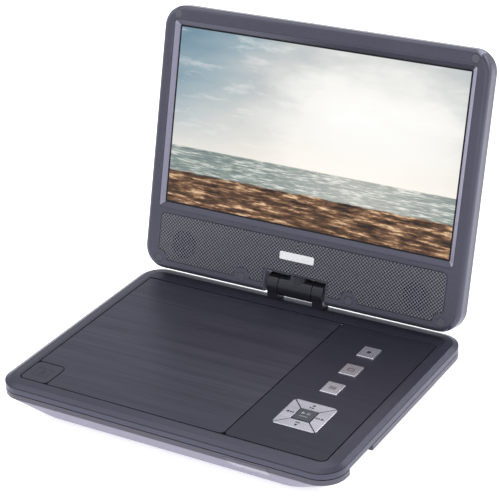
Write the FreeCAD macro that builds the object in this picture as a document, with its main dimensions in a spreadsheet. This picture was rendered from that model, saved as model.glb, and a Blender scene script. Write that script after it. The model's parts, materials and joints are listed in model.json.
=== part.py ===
import FreeCAD, Part
import math
import os
import re
import Sketcher

# Portable disc player: a base that holds the disc drive and a screen lid on a tilting, swivelling hinge.
# Base pieces are drawn about the centre of the base footprint, the table at Z = 0 and the keys facing up.
# Lid pieces are drawn about the tilt axis: X along the axis, Y up the lid, Z out of the screen.

SIZES = [
    # clearances that several pieces share
    ("past", 1.0, "how far a cutting tool runs past a face"),
    ("slack", 0.2, "between pieces that move past each other"),
    ("fit_gap", 0.1, "round pieces that are set in a hole"),
    ("running_clearance", 0.06, "shaft to bore"),
    ("screw_clearance", 0.1, "screw to hole"),
    # the base housing
    ("base_width", 224.6, "base, left to right"),
    ("base_depth", 169.0, "base, front to back"),
    ("base_corner", 15.0, "plan corner radius of the base"),
    ("base_top", 25.0, "height of the top surface above the table"),
    ("base_wall", 2.0, "housing wall"),
    ("crease_level", 22.8, "where the crowned top meets the upright side"),
    ("crown_middle_level", 24.3, "height of the crown part way in"),
    ("crown_middle_inset", 3.2, "how far in that is"),
    ("crown_inset", 8.2, "where the crown becomes flat"),
    ("hollow_inset", 5.0, "hollow under the crown, from the front and sides"),
    ("hollow_back", 9.0, "hollow under the crown, from the back"),
    ("parting_level", 19.2, "underside of the top cover's skirt"),
    ("parting_gap", 0.4, "shadow line between the covers"),
    ("lip_height", 1.4, "lip of the bottom cover inside the skirt"),
    ("lip_clearance", 0.1, "lip to skirt"),
    ("lip_width", 1.4, "lip thickness"),
    ("band_level", 15.4, "bottom of the upright band of the bottom cover"),
    ("lower_wall", 2.3, "wall of the bottom cover under the band"),
    ("underside_level", 3.2, "underside of the bottom cover"),
    ("side_inset", 14.0, "inward taper at the sides"),
    ("end_inset", 9.5, "inward taper at the front and back"),
    ("underside_corner", 22.0, "plan corner radius of the underside"),
    # the panel in the top
    ("rim_side", 10.65, "rim beside the panel"),
    ("rim_front", 9.4, "rim in front of the panel"),
    ("rim_back", 18.4, "rim behind the panel"),
    ("panel_corner", 3.5, "plan corner radius of the panel"),
    ("panel_thickness", 1.8, "door and key plate"),
    ("groove", 0.8, "gap round the door and the key plate"),
    ("divider", 38.3, "line between the door and the key plate"),
    # the disc drive
    ("well_centre", -31.7, "disc centre, left of the base centre"),
    ("well_radius", 62.5, "disc well"),
    ("well_floor", 16.5, "top of the well floor"),
    ("deck_wall", 1.6, "deck thickness"),
    ("deck_reach", 2.0, "deck flange under the rim"),
    ("seat_level", 18.0, "disc seat"),
    ("seat_radius", 14.0, "turntable"),
    ("seat_thickness", 1.1, "turntable disc"),
    ("hub_radius", 7.4, "hub that centres the disc"),
    ("hub_height", 3.4, "hub above the seat"),
    ("hub_edge", 0.8, "rounding of the hub"),
    ("deck_hole_radius", 16.0, "hole round the turntable"),
    ("lens_slot_width", 13.0, "slot for the pickup lens"),
    ("lens_slot_reach", 60.5, "slot end from the disc centre"),
    ("motor_radius", 11.0, "spindle motor"),
    ("motor_height", 6.0, "spindle motor"),
    ("motor_collar", 2.5, "collar radius on the spindle motor"),
    ("collar_hole", 3.0, "hole round that collar"),
    ("spindle_radius", 1.0, "motor shaft"),
    ("spindle_cover", 1.0, "hub above its bore"),
    ("spindle_end_gap", 0.6, "shaft end to the end of its bore"),
    ("frame_level", 12.6, "underside of the traverse frame"),
    ("frame_thickness", 1.4, "traverse frame"),
    ("frame_half_width", 31.0, "traverse frame"),
    ("frame_front", 66.0, "traverse frame, front of the disc centre"),
    ("frame_back", 22.0, "traverse frame, behind the disc centre"),
    ("frame_corner", 5.0, "corner radius of the traverse frame"),
    ("damper_radius", 4.0, "rubber mount"),
    ("damper_inset", 4.5, "rubber mount from the frame's edges"),
    ("damper_height", 3.0, "rubber mount"),
    ("damper_post_radius", 3.4, "post under a rubber mount"),
    ("rail_level", 9.4, "height of the guide rod and lead screw"),
    ("rail_spacing", 16.0, "each rail from the disc centre"),
    ("rail_back", 14.5, "rail plates nearest the disc centre"),
    ("rail_room", 4.0, "rail beyond the sled's furthest reach"),
    ("rail_plate", 2.0, "thickness of the plates that hold the rails"),
    ("rail_plate_width", 6.0, "plates that hold the rails"),
    ("rail_plate_drop", 3.0, "those plates below the rails"),
    ("rail_end", 0.3, "rail end inside the plate's outer face"),
    ("rod_radius", 1.25, "guide rod"),
    ("screw_radius", 1.5, "lead screw"),
    ("sled_motor_radius", 3.0, "sled motor"),
    ("sled_motor_length", 7.0, "sled motor"),
    ("sled_width", 22.0, "pickup sled between the rails"),
    ("sled_length", 17.0, "pickup sled"),
    ("sled_height", 5.6, "pickup sled"),
    ("sled_drop", 2.6, "sled below and above the rails"),
    ("arm_reach", 3.0, "sled's arms beyond the rails"),
    ("arm_depth", 8.0, "sled's arms along the rails"),
    ("sled_start", 25.0, "lens from the disc centre at rest"),
    ("sled_travel", 29.0, "pickup travel"),
    ("lens_radius", 2.6, "pickup lens"),
    ("lens_top", 16.3, "top of the lens"),
    ("lens_height", 1.6, "pickup lens"),
    ("lens_edge", 0.7, "rounding of the lens"),
    ("lens_holder", 9.0, "tower under the lens"),
    # the keys
    ("key_x", 70.0, "row of keys from the base centre"),
    ("key_width", 11.0, "oblong key"),
    ("key_depth", 12.0, "oblong key"),
    ("key_first", -6.4, "front oblong key"),
    ("key_pitch", 22.7, "between oblong keys"),
    ("key_gap", 0.35, "key to plate"),
    ("key_corner", 0.6, "plan corner radius of a key"),
    ("key_edge", 0.4, "rounding round the top of a key"),
    ("key_proud", 1.2, "key above the plate"),
    ("key_travel", 0.8, "key stroke"),
    ("key_flange", 0.8, "flange under the plate"),
    ("flange_reach", 0.8, "flange beyond the key"),
    ("key_stem_radius", 1.5, "stem on the switch"),
    ("key_stem_clearance", 0.4, "stem to bed hole"),
    ("stem_reach", 0.6, "stem below the bed"),
    ("pad_y", -39.0, "centre of the direction pad"),
    ("pad_size", 28.0, "direction pad"),
    ("pad_corner", 3.0, "direction pad corner radius"),
    ("pad_proud", 0.8, "direction keys above the plate"),
    ("pad_gap", 0.6, "between direction keys"),
    ("pad_stem", 4.2, "stem of a direction key from the middle key"),
    ("enter_size", 11.0, "middle key"),
    ("bed_thickness", 1.6, "floor under the keys"),
    ("bed_reach", 3.5, "that floor beyond the panel"),
    ("bed_corner", 2.0, "corner radius of that floor"),
    ("bed_ledge", 3.0, "ledge that carries the key plate"),
    ("switch_height", 1.9, "tact switch"),
    ("switch_size", 4.5, "tact switch"),
    ("board_thickness", 1.6, "circuit boards"),
    ("board_post_radius", 1.5, "posts that carry the boards"),
    ("key_board_half_width", 17.0, "board under the keys"),
    ("key_board_margin", 9.0, "that board beyond the end keys"),
    # the open button
    ("open_width", 19.0, "open button"),
    ("open_depth", 20.0, "open button"),
    ("open_corner", 4.0, "inner corner of the open button"),
    ("open_travel", 1.5, "open button stroke"),
    ("open_stem_radius", 2.4, "button stem"),
    ("open_stem_clearance", 0.3, "stem to its guide and spring"),
    ("open_drop", 12.2, "spring seat below the panel"),
    ("spring_wire", 0.6, "button spring"),
    ("spring_turns", 5, "rings of the button spring"),
    ("stem_post_wall", 1.2, "wall of the stem's guide post"),
    ("stem_guide", 4.0, "depth of that guide"),
    ("hook_width", 6.0, "door hook"),
    ("hook_thickness", 2.0, "door hook"),
    ("hook_drop", 4.0, "door hook below the door"),
    ("hook_inset", 1.4, "hook from the door's edge"),
    ("nose_width", 5.0, "latch nose"),
    ("nose_thickness", 1.6, "latch nose"),
    ("nose_drop", 2.0, "latch nose below the door"),
    ("nose_gap", 0.4, "latch nose to the hook"),
    ("latch_width", 10.0, "latch bar"),
    ("latch_depth", 6.0, "latch bar"),
    ("latch_drop", 7.0, "underside of the latch bar below the door"),
    ("latch_thickness", 2.4, "latch bar"),
    ("latch_room", 9.0, "opening in the deck behind the button"),
    # the door hinge
    ("door_pin_radius", 0.5, "door pins"),
    ("door_pin_length", 8.0, "door pins"),
    ("door_hinge_zone", 6.0, "square end of the door at its hinge"),
    # the port bay in the right side
    ("bay_depth", 10.9, "bay wall from the side of the base"),
    ("bay_front", -66.5, "front end of the bay"),
    ("bay_step", -39.5, "where the bay's roof drops"),
    ("bay_back", 42.0, "back end of the bay"),
    ("bay_floor", 7.3, "bay floor"),
    ("bay_roof", 15.0, "bay roof behind the step"),
    ("bay_wall", 1.6, "bay walls and port panel"),
    ("bay_frame", 2.0, "bay wall left round the port panel's opening"),
    ("port_level", 11.2, "height of the port centres"),
    ("socket_depth", 9.9, "round sockets behind the port panel"),
    ("socket_rise", 2.8, "round sockets above and below their centres"),
    ("socket_back", 1.6, "back wall of a socket"),
    ("jack_bore", 1.8, "bore radius of the round jacks"),
    ("jack_collar", 3.0, "collar radius of the round jacks"),
    ("jack_width", 7.0, "round jacks"),
    ("collar_proud", 0.3, "collars out of the port panel"),
    ("headphone_y", -59.0, "headphone jack"),
    ("volume_y", -47.5, "volume wheel"),
    ("volume_radius", 7.0, "volume wheel"),
    ("volume_thickness", 2.4, "volume wheel"),
    ("volume_proud", 2.4, "volume wheel out of the port panel"),
    ("volume_slot", 1.6, "slot above and below the wheel's centre"),
    ("volume_axle", 1.2, "axle radius of the volume wheel"),
    ("volume_base", 8.0, "volume control"),
    ("av_y", -30.0, "audio and video jack"),
    ("usb_y", -16.0, "data socket"),
    ("usb_width", 12.4, "data socket"),
    ("usb_height", 5.0, "data socket"),
    ("usb_length", 13.0, "data socket"),
    ("usb_wall", 0.4, "data socket"),
    ("usb_tongue", 1.0, "thickness of the tongue in the data socket"),
    ("card_y", 5.0, "card socket"),
    ("card_width", 24.4, "card socket"),
    ("card_height", 2.6, "card socket"),
    ("card_length", 20.0, "card socket"),
    ("card_wall", 0.5, "card socket"),
    ("power_y", 24.0, "power switch"),
    ("power_travel", 3.0, "power slider stroke"),
    ("power_body_length", 7.2, "power switch"),
    ("power_body_depth", 9.0, "power switch"),
    ("power_body_rise", 2.4, "power switch above its centre"),
    ("power_slot", 2.3, "slot beyond the slider's centre"),
    ("slider_rise", 1.0, "slider's stem above and below its centre"),
    ("slider_width", 4.0, "slider's stem"),
    ("slider_reach", 2.2, "slider's stem each way from the port panel's back"),
    ("knob_width", 5.0, "slider's knob"),
    ("knob_rise", 1.8, "slider's knob above and below its centre"),
    ("knob_length", 1.4, "slider's knob"),
    ("dc_y", 36.0, "power inlet"),
    ("dc_width", 8.0, "power inlet"),
    ("dc_bore", 2.4, "power inlet"),
    ("dc_pin", 0.65, "pin in the power inlet"),
    # electronics in the base
    ("board_left", 6.0, "main board"),
    ("board_front", -58.0, "main board"),
    ("board_back", 12.0, "main board's wide part"),
    ("board_inset", 3.4, "main board from the bay wall"),
    ("board_tail", 10.6, "width of the main board's narrow part"),
    ("board_post_inset", 4.0, "posts from the main board's edges"),
    ("chip_height", 1.5, "chips"),
    ("battery_left", 10.0, "battery pack"),
    ("battery_right", 80.0, "battery pack"),
    ("battery_front", 19.0, "battery pack"),
    ("battery_back", 58.0, "battery pack"),
    ("battery_height", 8.0, "battery pack"),
    # feet and screws of the base
    ("foot_radius", 6.0, "front feet"),
    ("foot_side", 30.3, "front feet from the sides"),
    ("foot_front", 26.5, "front feet from the front"),
    ("rear_foot_side", 20.3, "rear feet from the sides"),
    ("rear_foot_end", 27.0, "rear feet from the back"),
    ("rear_foot_half_width", 11.5, "rear feet"),
    ("rear_foot_half_length", 20.0, "rear feet"),
    ("rear_foot_half_height", 8.0, "rear feet"),
    ("rear_foot_level", 5.0, "widest level of the rear feet"),
    ("boss_radius", 3.2, "screw posts"),
    ("boss_joint", 12.4, "level where the posts meet"),
    ("screw_side", 46.3, "housing screws from the sides"),
    ("screw_near_side", 22.3, "front right housing screw from the side"),
    ("screw_front", 16.5, "front left housing screw from the front"),
    ("screw_end", 18.5, "other housing screws from the front and back"),
    ("screw_bite", 6.0, "housing screws above the joint"),
    ("base_screw_radius", 1.2, "housing screws"),
    ("base_head_radius", 2.6, "housing screw heads"),
    ("base_head_height", 1.8, "housing screw heads"),
    ("head_recess", 1.0, "screw heads inside the underside"),
    # the infra-red window in the front
    ("window_left", 44.0, "window at its top edge"),
    ("window_right", 71.5, "window at its bottom edge"),
    ("window_slant", 4.0, "slant of its left edge"),
    ("window_top", 17.5, "window"),
    ("window_bottom", 10.5, "window"),
    ("window_gap", 0.2, "window to housing"),
    ("window_wall", 2.8, "window thickness"),
    ("window_cut", 14.0, "depth of the cut for the window from the front"),
    ("window_corner", 12.0, "corner radius of the window's inner side"),
    # the hinge
    ("lean", 15.63, "lid leaning back from upright, in degrees"),
    ("tilt_inset", 3.74, "tilt axis in front of the base's back"),
    ("tilt_rise", 8.3, "tilt axis above the top surface"),
    ("barrel_radius", 7.0, "hinge barrel and knuckles"),
    ("barrel_half_length", 11.7, "hinge barrel"),
    ("knuckle_inner", 12.2, "knuckles from the centre line"),
    ("knuckle_outer", 19.6, "knuckles from the centre line"),
    ("pin_radius", 2.0, "tilt pin"),
    ("pin_inset", 0.6, "tilt pin inside the knuckles' ends"),
    ("pedestal_front", 10.0, "pedestals' front from the base's back"),
    ("pedestal_back", 2.2, "pedestals' back from the base's back"),
    ("mount_half_width", 26.0, "hinge mount plate"),
    ("mount_front", 17.5, "hinge mount plate from the base's back"),
    ("mount_back", 3.9, "hinge mount plate from the base's back"),
    ("mount_thickness", 2.2, "hinge mount plate"),
    ("mount_screw_inset", 3.2, "mount screws from the plate's edges"),
    ("mount_screw_bite", 2.0, "mount screws in the top cover"),
    ("mount_head_radius", 2.2, "mount screw heads"),
    ("mount_head_height", 1.4, "mount screw heads"),
    ("post_radius", 3.0, "swivel post"),
    ("post_room", 0.3, "swivel post to the notch's wall"),
    ("post_flange_radius", 4.5, "flange that keeps the post in its bracket"),
    ("post_flange", 2.0, "thickness of that flange"),
    ("bracket_height", 10.4, "swivel bracket along the post"),
    ("bracket_half_width", 14.0, "swivel bracket"),
    ("neck_radius", 6.8, "neck of the barrel"),
    ("neck_gap", 0.5, "neck to lid"),
    # the lid
    ("lid_width", 222.6, "lid, left to right"),
    ("lid_height", 169.5, "lid, bottom to top"),
    ("lid_below", 5.63, "bottom edge below the tilt axis"),
    ("lid_front", 7.2, "front face from the tilt axis"),
    ("lid_back", 7.8, "back face from the tilt axis"),
    ("lid_corner", 14.0, "plan corner radius of the lid"),
    ("lid_wall", 2.0, "side and back walls"),
    ("lid_face", 2.4, "front wall"),
    ("lid_parting", -1.0, "where the two halves meet"),
    ("lid_front_round", 3.0, "edge radius round the front"),
    ("lid_back_round", 5.0, "edge radius round the back"),
    ("notch_half_width", 21.8, "hinge notch"),
    ("notch_top", 8.87, "top of the hinge notch"),
    ("notch_wall", 1.6, "wall round the notch"),
    ("screen_width", 198.0, "picture area"),
    ("screen_height", 111.7, "picture area"),
    ("screen_bottom", 38.87, "picture area above the tilt axis"),
    ("screen_border", 1.0, "black border round the picture"),
    ("screen_corner", 0.8, "corner radius of the screen's opening"),
    ("slope_reach", 4.6, "slope round the screen beyond the picture"),
    ("slope_corner", 2.5, "corner radius of the slope"),
    ("slope_step", 0.4, "step at the outside of the slope"),
    ("glass_thickness", 1.3, "screen glass"),
    ("glass_reach", 3.0, "glass beyond the picture"),
    ("module_reach", 4.2, "screen module beyond the picture"),
    ("module_depth", 4.4, "screen module behind the glass"),
    ("module_wall", 1.2, "screen module walls"),
    ("module_corner", 1.0, "corner radius of the screen module"),
    ("lcd_board_half_width", 55.0, "board behind the screen"),
    ("lcd_board_low", 60.0, "board behind the screen"),
    ("lcd_board_high", 100.0, "board behind the screen"),
    ("grille_width", 200.8, "speaker grille"),
    ("grille_top", 30.87, "speaker grille"),
    ("grille_bottom", 0.57, "speaker grille"),
    ("grille_corner", 3.0, "speaker grille"),
    ("grille_thickness", 1.0, "speaker grille"),
    ("grille_gap", 0.4, "grille to its recess"),
    ("grille_arc", 6.2, "clearance arcs round the lower caps"),
    ("grille_notch_side", 1.2, "grille beside the hinge notch"),
    ("grille_notch_top", 0.9, "grille above the hinge notch"),
    ("speaker_x", 82.0, "speakers from the centre line"),
    ("speaker_y", 12.87, "speakers above the tilt axis"),
    ("speaker_radius", 11.5, "speakers"),
    ("speaker_rim", 1.2, "thickness of the speakers' rims"),
    ("speaker_basket", 4.4, "depth of the speakers' baskets"),
    ("speaker_depth", 7.0, "speakers"),
    ("speaker_edge", 1.5, "rims beyond the baskets"),
    ("basket_wall", 1.0, "speakers' baskets"),
    ("magnet_height", 3.0, "speakers' magnets"),
    ("cone_floor", 3.6, "bottom of the cones"),
    ("cone_top", 0.8, "top of the cones behind the lid's face"),
    ("cone_radius", 3.0, "cones at the bottom"),
    ("hole_radius", 0.6, "grille holes"),
    ("hole_pitch", 2.3, "grille holes"),
    ("hole_margin", 2.4, "grille holes inside the speakers"),
    ("badge_width", 24.0, "badge"),
    ("badge_height", 5.0, "badge"),
    ("badge_level", 20.4, "badge above the tilt axis"),
    ("badge_corner", 1.0, "badge"),
    ("badge_thickness", 0.5, "badge"),
    ("cap_radius", 2.7, "screw caps"),
    ("cap_clearance", 0.15, "cap to pocket"),
    ("cap_depth", 1.2, "cap pocket"),
    ("cap_thickness", 1.1, "screw caps"),
    ("cap_top_x", 101.2, "upper caps"),
    ("cap_top_y", 158.57, "upper caps"),
    ("cap_low_outer", 100.0, "lower outer caps"),
    ("cap_low_inner", 38.0, "lower inner caps"),
    ("cap_low_y", 0.87, "lower caps"),
    ("lid_screw_radius", 1.0, "lid screws"),
    ("lid_screw_end", 0.4, "lid screws short of the back wall"),
    ("lid_head_radius", 2.0, "lid screw heads"),
    ("lid_head_height", 1.3, "lid screw heads"),
    ("lid_boss_radius", 3.6, "screw posts in the lid"),
]

CHIPS = [  # x, y, width and depth of each chip on the main board
    ("24", "-38", "14", "14"),
    ("24", "-14", "11", "8"),
    ("48", "-40", "8", "18"),
    ("46", "-8", "7", "7"),
    ("70", "-20", "9", "12"),
]

ALIASES = {alias for alias, number, words in SIZES}
WORD = re.compile(r"[a-z][a-z_]*")
doc = FreeCAD.newDocument("disc_player")
sheet = doc.addObject("Spreadsheet::Sheet", "sizes")
for row, (alias, number, words) in enumerate(SIZES, start=1):
    sheet.set(f"A{row}", words)
    sheet.set(f"B{row}", str(number))
    sheet.setAlias(f"B{row}", alias)
doc.recompute()
parts = []


# ---- expressions -------------------------------------------------------------------------------------------

def spelled(text):
    """An expression with each size's name pointing at its cell."""
    def cell(found):
        word = found.group()
        return f"sizes.{word}" if word in ALIASES else word
    return WORD.sub(cell, str(text))


def bind(thing, place, text):
    thing.setExpression(place, spelled(text))


def value(text):
    return float(sheet.evalExpression(spelled(text)))


def span(middle, size):
    """A pair of places, half the size each way from the middle."""
    return f"({middle}) - ({size}) / 2", f"({middle}) + ({size}) / 2"


def mirrored(near, far):
    """The same stretch of X at the left and at the right."""
    return [(f"-({far})", f"-({near})"), (near, far)]


def lift(level, height):
    """A stretch of Z from a level up."""
    return level, f"({level}) + ({height})"


# ---- primitives and booleans -------------------------------------------------------------------------------

def settle(piece, at, turn=(0, 0, 1), angle=0):
    piece.Placement = FreeCAD.Placement(FreeCAD.Vector(), FreeCAD.Rotation(FreeCAD.Vector(*turn), angle))
    for letter, text in zip("xyz", at):
        bind(piece, f"Placement.Base.{letter}", text)
    return piece


def block(x, y, z):
    """A box between three pairs of planes."""
    piece = doc.addObject("Part::Box", "block")
    for side, (low, high) in zip(("Length", "Width", "Height"), (x, y, z)):
        bind(piece, side, f"({high}) - ({low})")
    return settle(piece, (x[0], y[0], z[0]))


def centred(x, y, width, depth, z):
    """A box centred on x and y."""
    return block(span(x, width), span(y, depth), z)


TURNS = {"X": ((0, 1, 0), 90), "Y": ((1, 0, 0), -90), "Z": ((0, 0, 1), 0)}


def rod(radius, at, length, along="Z"):
    """A cylinder from a point along an axis."""
    piece = doc.addObject("Part::Cylinder", "rod")
    bind(piece, "Radius", radius)
    bind(piece, "Height", length)
    turn, angle = TURNS[along]
    return settle(piece, at, turn, angle)


def upright(radius, x, y, z):
    """A cylinder along Z between two levels."""
    return rod(radius, (x, y, z[0]), f"({z[1]}) - ({z[0]})")


def fused(*pieces):
    if len(pieces) == 1:
        return pieces[0]
    result = doc.addObject("Part::MultiFuse", "fused")
    result.Shapes = list(pieces)
    result.Refine = True
    return result


def less(base, *tools):
    result = doc.addObject("Part::Cut", "less")
    result.Base = base
    result.Tool = fused(*tools)
    result.Refine = True
    return result


def shared(first, second):
    result = doc.addObject("Part::MultiCommon", "shared")
    result.Shapes = [first, second]
    result.Refine = True
    return result


def group(*pieces):
    """Separate solids in one sub-part."""
    result = doc.addObject("Part::Compound", "group")
    result.Links = list(pieces)
    return result


def flat_at(level):
    """Picks the edges that lie in one level plane."""
    height, near = value(level), 1e-4
    return lambda edge: abs(edge.BoundBox.ZMin - height) < near and abs(edge.BoundBox.ZMax - height) < near


# ---- sketched bodies ---------------------------------------------------------------------------------------

def pin_down(sketch, point, x, y):
    """Hold one point of a sketch at x and y from its origin."""
    for kind, axis, text in (("DistanceX", -2, x), ("DistanceY", -1, y)):
        if text is None:
            continue
        if text == "0":
            sketch.addConstraint(Sketcher.Constraint("PointOnObject", *point, axis))
            continue
        number = sketch.addConstraint(Sketcher.Constraint(kind, -1, 1, *point, value(text)))
        bind(sketch, f"Constraints[{number}]", text)


def sized(sketch, kind, geometry, text):
    number = sketch.addConstraint(Sketcher.Constraint(kind, geometry, value(text)))
    bind(sketch, f"Constraints[{number}]", text)


def polygon(*corners):
    """A closed outline through corners."""
    def draw(sketch):
        places = [FreeCAD.Vector(value(x), value(y), 0) for x, y in corners]
        ends = places[1:] + places[:1]
        sides = [sketch.addGeometry(Part.LineSegment(a, b), False) for a, b in zip(places, ends)]
        for side, after in zip(sides, sides[1:] + sides[:1]):
            sketch.addConstraint(Sketcher.Constraint("Coincident", side, 2, after, 1))
        for side, (x, y) in zip(sides, corners):
            pin_down(sketch, (side, 1), x, y)
    return draw


def circle(x, y, radius):
    def draw(sketch):
        middle = FreeCAD.Vector(value(x), value(y), 0)
        ring = sketch.addGeometry(Part.Circle(middle, FreeCAD.Vector(0, 0, 1), value(radius)), False)
        pin_down(sketch, (ring, 3), x, y)
        sized(sketch, "Radius", ring, radius)
    return draw


def rounded(x, y, radius):
    """An oblong between two pairs of lines, with round corners."""
    def draw(sketch):
        (left, right), (low, high) = [[value(text) for text in pair] for pair in (x, y)]
        bend = value(radius)
        corners = [(right - bend, low + bend, -90), (right - bend, high - bend, 0),
                   (left + bend, high - bend, 90), (left + bend, low + bend, 180)]
        arcs = []
        for centre_x, centre_y, start in corners:
            ring = Part.Circle(FreeCAD.Vector(centre_x, centre_y, 0), FreeCAD.Vector(0, 0, 1), bend)
            first = math.radians(start)
            arcs.append(sketch.addGeometry(Part.ArcOfCircle(ring, first, first + math.pi / 2), False))
        ends = [(sketch.getPoint(arc, 1), sketch.getPoint(arc, 2)) for arc in arcs]
        sides = []
        for (start, finish), (following, last) in zip(ends, ends[1:] + ends[:1]):
            sides.append(sketch.addGeometry(Part.LineSegment(finish, following), False))
        for arc, side, following in zip(arcs, sides, arcs[1:] + arcs[:1]):
            sketch.addConstraint(Sketcher.Constraint("Tangent", arc, 2, side, 1))
            sketch.addConstraint(Sketcher.Constraint("Tangent", side, 2, following, 1))
        for side, kind in zip(sides, ("Vertical", "Horizontal", "Vertical", "Horizontal")):
            sketch.addConstraint(Sketcher.Constraint(kind, side))
        for arc in arcs[1:]:
            sketch.addConstraint(Sketcher.Constraint("Equal", arcs[0], arc))
        sized(sketch, "Radius", arcs[0], radius)
        pin_down(sketch, (sides[0], 1), x[1], None)
        pin_down(sketch, (sides[2], 1), x[0], None)
        pin_down(sketch, (sides[1], 1), None, y[1])
        pin_down(sketch, (sides[3], 1), None, y[0])
    return draw


class Moulding:
    """A PartDesign body built up from sketches that lie across Z."""

    def __init__(self, name):
        self.body = doc.addObject("PartDesign::Body", name)

    def sketch(self, level, *outlines, role="XY_Plane"):
        result = self.body.newObject("Sketcher::SketchObject", "outline")
        plane = next(item for item in self.body.Origin.OriginFeatures if item.Role == role)
        result.AttachmentSupport = [(plane, "")]
        result.MapMode = "FlatFace"
        bind(result, "AttachmentOffset.Base.z", level)
        for draw in outlines:
            draw(result)
        return result

    def pad(self, z, *outlines, role="XY_Plane"):
        profile = self.sketch(z[0], *outlines, role=role)
        feature = self.body.newObject("PartDesign::Pad", "pad")
        feature.Profile = profile
        bind(feature, "Length", f"({z[1]}) - ({z[0]})")
        doc.recompute()
        return self

    def pocket(self, z, *outlines):
        profile = self.sketch(z[1], *outlines)
        feature = self.body.newObject("PartDesign::Pocket", "pocket")
        feature.Profile = profile
        bind(feature, "Length", f"({z[1]}) - ({z[0]})")
        doc.recompute()
        return self

    def loft(self, *sections, cuts=False):
        """Join outlines at rising levels with straight sides."""
        kind = "PartDesign::SubtractiveLoft" if cuts else "PartDesign::AdditiveLoft"
        sketches = [self.sketch(level, outline) for level, outline in sections]
        feature = self.body.newObject(kind, "loft")
        feature.Profile = sketches[0]
        feature.Sections = sketches[1:]
        feature.Ruled = True
        doc.recompute()
        return self

    def round(self, chosen, radius):
        tip = self.body.Tip
        feature = self.body.newObject("PartDesign::Fillet", "round")
        picked = [f"Edge{number}" for number, edge in enumerate(tip.Shape.Edges, start=1) if chosen(edge)]
        feature.Base = (tip, picked)
        bind(feature, "Radius", radius)
        doc.recompute()
        return self


def plate(name, z, outline):
    """A moulding that is one outline between two levels."""
    return Moulding(name).pad(z, outline)


# ---- where things are --------------------------------------------------------------------------------------

def inset_outline(inset, corner, side=None):
    """The base's plan outline moved inwards, by side at the left and right where that differs."""
    across = f"base_width / 2 - ({side or inset})"
    along = f"base_depth / 2 - ({inset})"
    return rounded((f"-({across})", across), (f"-({along})", along), corner)


def lid_outline(inset):
    across = f"lid_width / 2 - ({inset})"
    return rounded((f"-({across})", across), (f"{inset} - lid_below", f"lid_height - lid_below - ({inset})"),
                   f"lid_corner - ({inset})")


EDGE = "groove / 2"
BASE_SIDE = "(base_width / 2)"
BASE_BACK = "(base_depth / 2)"
PANEL_LEFT = "(rim_side - base_width / 2)"
PANEL_RIGHT = "(base_width / 2 - rim_side)"
PANEL_FRONT = "(rim_front - base_depth / 2)"
PANEL_BACK = "(base_depth / 2 - rim_back)"
DISC_Y = "((rim_front - rim_back) / 2)"
DISC = ("well_centre", DISC_Y)
RIM_UNDER = "(base_top - base_wall)"
PLATE_UNDER = "(base_top - panel_thickness)"
PLATE_Z = (PLATE_UNDER, "base_top")
FLANGE_TOP = f"({PLATE_UNDER} - slack)"
FLANGE_UNDER = f"({FLANGE_TOP} - key_flange)"
BED_TOP = f"({FLANGE_UNDER} - key_travel - slack)"
BED_UNDER = f"({BED_TOP} - bed_thickness)"
STEM_END = f"({BED_UNDER} - stem_reach)"
SWITCH_TOP = f"({STEM_END} - key_travel - fit_gap)"
KEY_BOARD_TOP = f"({SWITCH_TOP} - switch_height)"
KEY_ROWS = ["key_first", "key_first + key_pitch", "key_first + 2 * key_pitch"]
PAD_KEYS = [("key_up", 0), ("key_left", 90), ("key_down", 180), ("key_right", 270)]
PAD_STEM = "(enter_size / 2 + pad_stem)"
SHELL_FLOOR = "(underside_level + base_wall)"
BAND_TOP = "(parting_level - parting_gap)"
LIP_TOP = f"({BAND_TOP} + lip_height)"
SHALLOW_UNDER = "(crease_level - base_wall)"
DECK_UNDER = f"({RIM_UNDER} - deck_wall)"
FLOOR_UNDER = "(well_floor - deck_wall)"
RAIL_FRONT = "(sled_start + sled_travel + arm_depth / 2 + rail_room)"
OPEN_X = f"({PANEL_LEFT} + {EDGE} + open_width / 2)"
OPEN_Y = f"({PANEL_FRONT} + {EDGE} + open_depth / 2)"
OPEN_BACK = f"({PANEL_FRONT} + {EDGE} + open_depth)"
SPRING_SEAT = f"({PLATE_UNDER} - open_drop)"
HOOK_FRONT = f"({OPEN_BACK} + groove + hook_inset)"
DOOR_AXIS_Y = f"({PANEL_BACK} - {EDGE} - panel_thickness / 2)"
DOOR_AXIS_Z = "(base_top - panel_thickness / 2)"
BAY_WALL_X = f"({BASE_SIDE} - bay_depth)"
PORT_FACE_X = f"({BAY_WALL_X} + bay_wall)"
OUTSIDE_X = f"({BASE_SIDE} + past)"
BOARD_TOP = "(port_level - socket_rise)"
BOARD_UNDER = f"({BOARD_TOP} - board_thickness)"
BOARD_RIGHT = f"({BAY_WALL_X} - board_inset)"
SCREW_PLACES = [(f"screw_side - {BASE_SIDE}", f"screw_front - {BASE_BACK}"),
                (f"{BASE_SIDE} - screw_near_side", f"screw_end - {BASE_BACK}"),
                (f"screw_side - {BASE_SIDE}", f"{BASE_BACK} - screw_end"),
                (f"{BASE_SIDE} - screw_side", f"{BASE_BACK} - screw_end")]
TILT_Y = f"({BASE_BACK} - tilt_inset)"
TILT_LEVEL = "(base_top + tilt_rise)"
MOUNT_UNDER = f"({SHALLOW_UNDER} - mount_thickness)"
MOUNT_SCREW_X = "(mount_half_width - mount_screw_inset)"
MOUNT_SCREW_Y = f"({BASE_BACK} - mount_back - mount_screw_inset)"
PEDESTALS_Y = (f"{BASE_BACK} - pedestal_front", f"{BASE_BACK} - pedestal_back")
LID_REAR = (f"({TILT_Y} + (lid_height - lid_below - lid_back_round) * sin(lean)"
            " + (lid_back - lid_back_round) * cos(lean) + lid_back_round)")
ROW_SHIFT = f"(({LID_REAR} - {BASE_BACK}) / 2)"
FACE_INSIDE = "(lid_front - lid_face)"
BACK_INSIDE = "(lid_wall - lid_back)"
GLASS_UNDER = f"({FACE_INSIDE} - glass_thickness)"
MODULE_BACK = f"({GLASS_UNDER} - module_depth)"
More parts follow.
